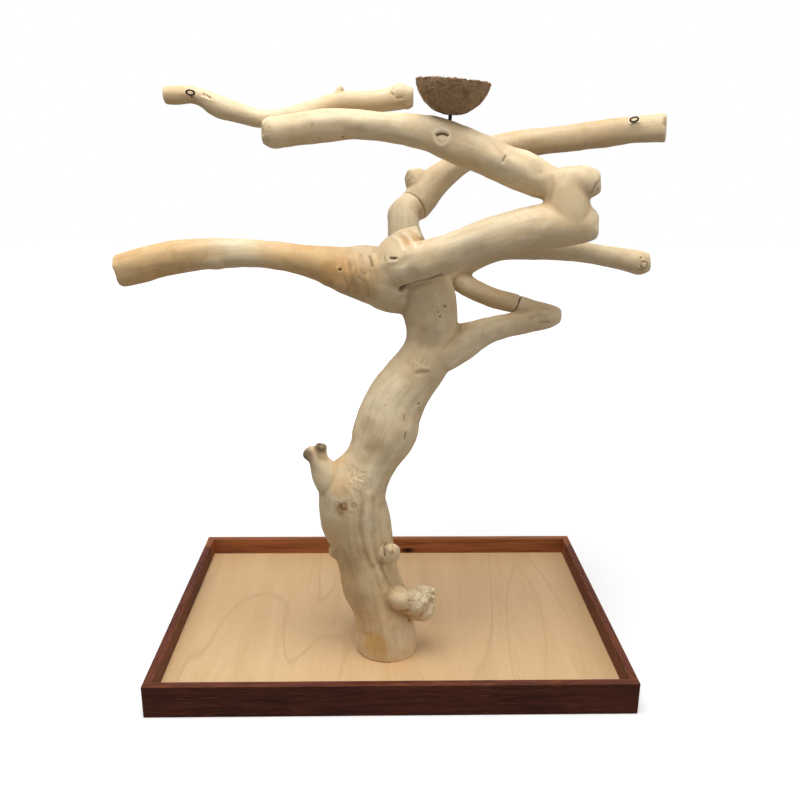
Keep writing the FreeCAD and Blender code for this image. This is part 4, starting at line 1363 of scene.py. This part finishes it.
color = layered(
    tree,
    blend(tree, spread(tree, fibres["Streaks"], 0.36, 0.62), STAIN_DEEP, STAIN_MID),
    (rich, STAIN_LIGHT),
    (worn, STAIN_LIGHT),
    (inner_back, STAIN_BACK),
    (spread(tree, depth, *FRONT_SKIN, 0.45), STAIN_FRONT),
    (product(tree, spread(tree, knot_gap, 1.0, 0.35), at_back), KNOT_DARK),
)
sheen = spread(tree, mottle["Soft"], 0.0, 1.0, 0.58, 0.46)
complete(stained_rail, color, sheen, (fibres["Height"], 0.3, 0.3 * MM), specular=0.12)

# %% [markdown]
# Plywood: a rotary-cut face veneer. The knife peels it off the log, so the year rings turn into
# long wavy loops, here the contour lines of a noise that is drawn out along the grain.

# %% Plywood
PLY_PALE = (0.77, 0.53, 0.29, 1)
PLY_MID = (0.69, 0.455, 0.23, 1)
PLY_WARM = (0.77, 0.48, 0.25, 1)
PLY_LINE = (0.47, 0.27, 0.125, 1)
LOOP_STRETCH = (6.5, 1.3, 1)
LOOP_COUNT = 6

plywood, tree, spot_of = finish_of("face_veneer")
axes = node(tree, "SeparateXYZ", {0: spot_of}).outputs
along_y = node(tree, "CombineXYZ", {0: axes["X"], 1: axes["Z"], 2: axes["Y"]}).outputs[0]
fibres = use(tree, FIBRES, Vector=along_y, Across=330.0, Along=12.0, Warp=0.2)
broad = use(tree, FIBRES, Vector=along_y, Across=28.0, Along=2.5, Warp=0.6)
mottle = use(tree, PATCHES, Vector=spot_of, Scale=5.0)
hills = cloud(tree, stretched(tree, spot_of, LOOP_STRETCH), 1.0, 1.5, 0.35, 0.5)
contour = math_of(tree, "PINGPONG", product(tree, hills, LOOP_COUNT), 0.5)
line = spread(tree, contour, 0.0, 0.08, 0.0, 0.36)
color = layered(
    tree,
    blend(tree, spread(tree, broad["Streaks"], 0.3, 0.7), PLY_MID, PLY_PALE),
    (spread(tree, mottle["Soft"], 0.2, 1.0, 0.4), PLY_WARM),
    (spread(tree, fibres["Threads"], 0.5, 0.75, 0.3), PLY_LINE),
    (product(tree, line, spread(tree, broad["Streaks"], 0.35, 0.6, 1.0, 0.25)), PLY_LINE),
)
sheen = spread(tree, fibres["Streaks"], 0.3, 0.7, 0.4, 0.5)
complete(plywood, color, sheen, (fibres["Height"], 0.25, 0.2 * MM), specular=0.3)

# %% [markdown]
# Coconut shell: dark brown husk with paler granules and tan flecks. The roughness is high
# everywhere, because the husk is like cork. The loose coir fibres have a finish of their own.

# %% Coconut shell and coir
HUSK_BROWN = (0.22, 0.13, 0.068, 1)
HUSK_MID = (0.42, 0.27, 0.15, 1)
HUSK_TAN = (0.46, 0.32, 0.19, 1)
GRANULE_DARK = (0.07, 0.038, 0.022, 1)
GRANULE_PALE = (0.5, 0.36, 0.23, 1)
COIR_DARK = (0.20, 0.115, 0.06, 1)
COIR_PALE = (0.55, 0.40, 0.25, 1)

coconut, tree, spot_of = finish_of("husk")
husk = use(tree, PATCHES, Vector=spot_of, Scale=55.0)
fleck = use(tree, PATCHES, Vector=spot_of, Scale=170.0)
granule = cloud(tree, spot_of, 620.0, 3.0, 0.7)
color = layered(
    tree,
    blend(tree, husk["Soft"], HUSK_BROWN, HUSK_MID),
    (spread(tree, fleck["Soft"], 0.5, 1.0, 0.6), HUSK_TAN),
    (spread(tree, granule, 0.42, 0.3, 0.7), GRANULE_DARK),
    (spread(tree, granule, 0.6, 0.72, 0.7), GRANULE_PALE),
)
complete(coconut, color, 0.92, (granule, 0.9, 0.8 * MM), specular=0.15)

fibre_finish, tree, spot_of = finish_of("coir")
husk = use(tree, PATCHES, Vector=spot_of, Scale=120.0)
color = blend(tree, husk["Soft"], COIR_DARK, COIR_PALE)
complete(fibre_finish, color, 0.85, (husk["Soft"], 0.2, 0.2 * MM))

# %% [markdown]
# Metal: zinc-plated steel for the nut and the hidden screws, and oil-blackened steel for the stem
# and the screw eyes. Fine scratches and a cloudy film change the roughness, as handling does.

# %% Steel
ZINC_BRIGHT = (0.62, 0.62, 0.60, 1)
ZINC_DULL = (0.42, 0.42, 0.41, 1)
OILED = (0.10, 0.09, 0.09, 1)
OILED_DULL = (0.05, 0.042, 0.042, 1)


def metal_finish(name, bright, dull, smooth, rough):
    finish, tree, spot_of = finish_of(name)
    film = use(tree, PATCHES, Vector=spot_of, Scale=140.0)
    scratch = use(tree, FIBRES, Vector=spot_of, Across=1800.0, Along=160.0, Warp=0.0)
    color = blend(tree, film["Soft"], bright, dull)
    sheen = spread(tree, scratch["Streaks"], 0.3, 0.7, rough, smooth)
    complete(finish, color, sheen, (scratch["Height"], 0.15, 0.05 * MM), metallic=1.0)
    return finish


steel = metal_finish("bright_steel", ZINC_BRIGHT, ZINC_DULL, 0.26, 0.42)
dark_steel = metal_finish("black_steel", OILED, OILED_DULL, 0.34, 0.55)

# %% [markdown]
# Rails and panel are boards with eased edges. A board starts as a cube of the CAD board's size, and
# its edges are bevelled in three steps, as two passes of sandpaper leave them. The bevel's faces
# are marked on an attribute, so that the stain can be worn there. Another one carries the grain's
# direction.

# %% Boards
RAIL_EASE = 0.9 * MM
PANEL_EASE = 0.4 * MM
EASE_STEPS = 3
ROUND = 0.5


def object_of(shape, name):
    """Turns a bmesh into an object in the scene."""
    bmesh.ops.recalc_face_normals(shape, faces=shape.faces)
    mesh = bpy.data.meshes.new(name)
    shape.to_mesh(mesh)
    shape.free()
    return new_object(name, mesh)


def tube(shape, rings):
    """Adds a tube through rings of places, closed at both ends."""
    rows = [[shape.verts.new(place) for place in ring] for ring in rings]
    for lower, upper in zip(rows, rows[1:]):
        for here in range(len(lower)):
            after = (here + 1) % len(lower)
            shape.faces.new((lower[here], lower[after], upper[after], upper[here]))
    shape.faces.new(rows[0][::-1])
    shape.faces.new(rows[-1])


def board(cad_node, ease, long_axis):
    rows = points_of(nodes[cad_node])
    low, high = rows.min(axis=0), rows.max(axis=0)
    shape = bmesh.new()
    bmesh.ops.create_cube(shape, size=1)
    for vertex in shape.verts:
        vertex.co = Vector(low + (np.array(vertex.co) + 0.5) * (high - low))
    layer = shape.faces.layers.float.new("edge")
    eased = bmesh.ops.bevel(
        shape,
        geom=shape.edges[:],
        offset=ease,
        segments=EASE_STEPS,
        profile=ROUND,
        affect="EDGES",
    )
    for face in eased["faces"]:
        face[layer] = 1
    thing = object_of(shape, "board_" + cad_node)
    order = [axis for axis in range(3) if axis != long_axis] + [long_axis]
    add_attribute(thing.data, "grain", "FLOAT_VECTOR", points_of(thing)[:, order])
    thing.data.shade_smooth()
    applied(thing, "WEIGHTED_NORMAL", keep_sharp=False)
    return thing


BOARDS = {
    "tray_rail_front": (RAIL_EASE, 0),
    "tray_rail_back": (RAIL_EASE, 0),
    "tray_rail_left": (RAIL_EASE, 1),
    "tray_rail_right": (RAIL_EASE, 1),
    "tray_panel": (PANEL_EASE, 1),
}
boards = {cad_node: board(cad_node, *settings) for cad_node, settings in BOARDS.items()}
print("boards:", len(boards))

# %% [markdown]
# The coconut shell is sawn in half, and its husk is only roughly brushed off. A copy of the CAD
# shell is voxel remeshed, then noise lifts granules and tufts on it. The rim gets a ragged edge,
# because husk tears when it is sawn.

# %% Coconut shell
SHELL_VOXEL = 0.95 * MM
HUSK_LUMP_SIZE = 11 * MM
HUSK_LUMP_HEIGHT = 0.9 * MM
GRANULE_SIZE = 3.1 * MM
GRANULE_HEIGHT = 0.75 * MM
CRUMB_SIZE = 1.5 * MM
CRUMB_HEIGHT = 0.35 * MM
RIM_DEPTH = 4 * MM
RIM_RAG = 1.6 * MM
RAG_SIZE = 5 * MM
RAG_LEVEL = 0.25
FRAY_SIZE = 1.8 * MM
FRAY_HEIGHT = 0.7 * MM
CUP_TILT = math.radians(4)
CUP_AXIS = Vector((math.sin(CUP_TILT), 0, math.cos(CUP_TILT)))

cup = merged_copy("coconut_cup", "husk_shell")
applied(cup, "REMESH", mode="VOXEL", voxel_size=SHELL_VOXEL, use_smooth_shade=True)
applied(cup, "SMOOTH", factor=0.5, iterations=3)
rows = points_of(cup)
cup_middle = rows.mean(axis=0)
rise = (rows - cup_middle) @ np.array(CUP_AXIS)
rim_height = rise.max()
lift = np.zeros(len(rows))
rag = np.zeros(len(rows))
for index, row in enumerate(rows):
    place = Vector(row)
    lift[index] = (
        HUSK_LUMP_HEIGHT * noise.noise(place / HUSK_LUMP_SIZE)
        + GRANULE_HEIGHT * noise.noise(place / GRANULE_SIZE)
        + CRUMB_HEIGHT * noise.noise(place / CRUMB_SIZE)
    )
    near_rim = max(0.0, 1 - (rim_height - rise[index]) / RIM_DEPTH)
    rag[index] = near_rim * RIM_RAG * (noise.noise(place / RAG_SIZE) - RAG_LEVEL)
    rag[index] += near_rim * FRAY_HEIGHT * noise.noise(place / FRAY_SIZE)
rows += normals_of(cup) * lift[:, None] + np.outer(rag, np.array(CUP_AXIS))
set_points(cup, rows)
print(f"shell: {len(rows)} vertices")

# %% [markdown]
# A few hundred coir fibres still cling to the shell, most of them at the torn rim. Each one is a
# three-sided tapering tube with a bend in it, laid on the skin and lifted at its tip.

# %% Coir fibres
FIBRE_COUNT = 420
FIBRE_RADIUS = 0.16 * MM
FIBRE_SIDES = 3
FIBRE_RINGS = 5
FIBRE_LENGTHS = (1.5, 5)
FIBRE_LIFT = 0.35
FIBRE_TAPER = 0.8
FIBRE_ROOT = 0.2 * MM
UPWARDS = 0.4
RIM_SHARE = 0.55
RIM_BAND = 2.5 * MM


def fibre(shape, root, along, lean, length):
    """Adds one tapering tube that starts on the skin and leans away from it."""
    rings = []
    side = along.cross(lean).normalized()
    for step in range(FIBRE_RINGS):
        t = step / (FIBRE_RINGS - 1)
        middle = root + along * (length * t) + lean * (length * FIBRE_LIFT * t * t)
        thick = FIBRE_RADIUS * (1 - FIBRE_TAPER * t)
        angles = [math.tau * corner / FIBRE_SIDES for corner in range(FIBRE_SIDES)]
        rings.append([middle + (side * math.cos(a) + lean * math.sin(a)) * thick for a in angles])
    tube(shape, rings)


dice = np.random.default_rng(5)
normals = normals_of(cup)
outer = np.flatnonzero(((rows - cup_middle) * normals).sum(axis=1) > 0)
rim = np.flatnonzero(rise > rim_height - RIM_BAND)
coir = bmesh.new()
for _ in range(FIBRE_COUNT):
    index = dice.choice(rim if dice.random() < RIM_SHARE else outer)
    lean = Vector(normals[index])
    loose = Vector(dice.normal(size=3)) + CUP_AXIS * UPWARDS
    along = (loose - lean * loose.dot(lean)).normalized()
    length = float(dice.uniform(*FIBRE_LENGTHS)) * MM
    fibre(coir, Vector(rows[index]) - lean * FIBRE_ROOT, along, lean, length)
coir_fibres = object_of(coir, "coir_fibres")
print("coir fibres:", FIBRE_COUNT)

# %% [markdown]
# The stem is threaded rod. A thread is a helix: the radius goes up and down with the height plus
# the turn, so a net of rings whose radius follows that sum gives crests that climb as a real
# thread's do. Its ends are chamfered.

# %% Threaded rod
THREAD_PITCH = 1.0 * MM
THREAD_DEPTH = 0.55 * MM
ROD_RADIUS = 3 * MM
ROD_SIDES = 36
STEPS_PER_TURN = 8
CHAMFER_START = 0.3 * MM
CHAMFER_SPAN = 1.2 * MM
CHAMFERED = 0.72


def threaded_rod(name, foot, axis, length):
    side = axis.orthogonal().normalized()
    over = axis.cross(side)
    rings = []
    count = int(length / THREAD_PITCH * STEPS_PER_TURN)
    for step in range(count + 1):
        height = length * step / count
        chamfer = min(1.0, (min(height, length - height) + CHAMFER_START) / CHAMFER_SPAN)
        widest = ROD_RADIUS * (CHAMFERED + (1 - CHAMFERED) * chamfer)
        ring = []
        for corner in range(ROD_SIDES):
            turn = corner / ROD_SIDES
            wave = abs(((height / THREAD_PITCH + turn) % 1) - 0.5) * 2
            reach = min(ROD_RADIUS - THREAD_DEPTH * wave, widest)
            spin = side * math.cos(math.tau * turn) + over * math.sin(math.tau * turn)
            ring.append(foot + axis * height + spin * reach)
        rings.append(ring)
    shape = bmesh.new()
    tube(shape, rings)
    thing = object_of(shape, name)
    thing.data.shade_smooth()
    return thing


stem_rows = points_of(nodes["cup_stem"])
middle = stem_rows.mean(axis=0)
reach = (stem_rows - middle) @ np.array(CUP_AXIS)
stem_length = reach.max() - reach.min()
stem_foot = Vector(middle) + CUP_AXIS * reach.min()
stem = threaded_rod("threaded_stem", stem_foot, CUP_AXIS, stem_length)
print(f"stem: {stem_length / MM:.0f} mm, {len(stem.data.polygons)} faces")

# %% [markdown]
# Every piece is now given its finish, the body it moves with and the CAD nodes it stands in for.
# What stays bare CAD, such as the screws and dowels inside the joints, gets a finish too.

# %% Finishes on the pieces
HIDDEN_STEEL = ("corner_brads", "panel_brads", "base_screws", "joint_dowels", "joint_screws")
CAD_FINISHES = dict.fromkeys((*HIDDEN_STEEL, "cup_flange_nut"), steel)
CAD_FINISHES.update(eye_left=dark_steel, eye_right=dark_steel)
for cad_node, look in CAD_FINISHES.items():
    nodes[cad_node].data.materials.clear()
    nodes[cad_node].data.materials.append(look)


def hand_over(piece, look, body, slot, *replaced):
    piece.data.materials.clear()
    piece.data.materials.append(look)
    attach(piece, body)
    if replaced:
        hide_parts(*replaced)


for cad_node, limb in limbs.items():
    hand_over(limb, bare_wood, "stand", "bare_wood", cad_node)
panel = boards.pop("tray_panel")
for cad_node, rail in boards.items():
    hand_over(rail, stained_rail, "stand", "stained_rail", cad_node)
hand_over(panel, plywood, "stand", "plywood", "tray_panel")
hand_over(cup, coconut, "cup", "coconut_shell", "coconut_cup")
hand_over(stem, dark_steel, "stand", "dark_steel", "cup_stem")
hand_over(coir_fibres, fibre_finish, "cup", "coconut_shell")
print("pieces:", len(limbs) + len(boards) + 4)
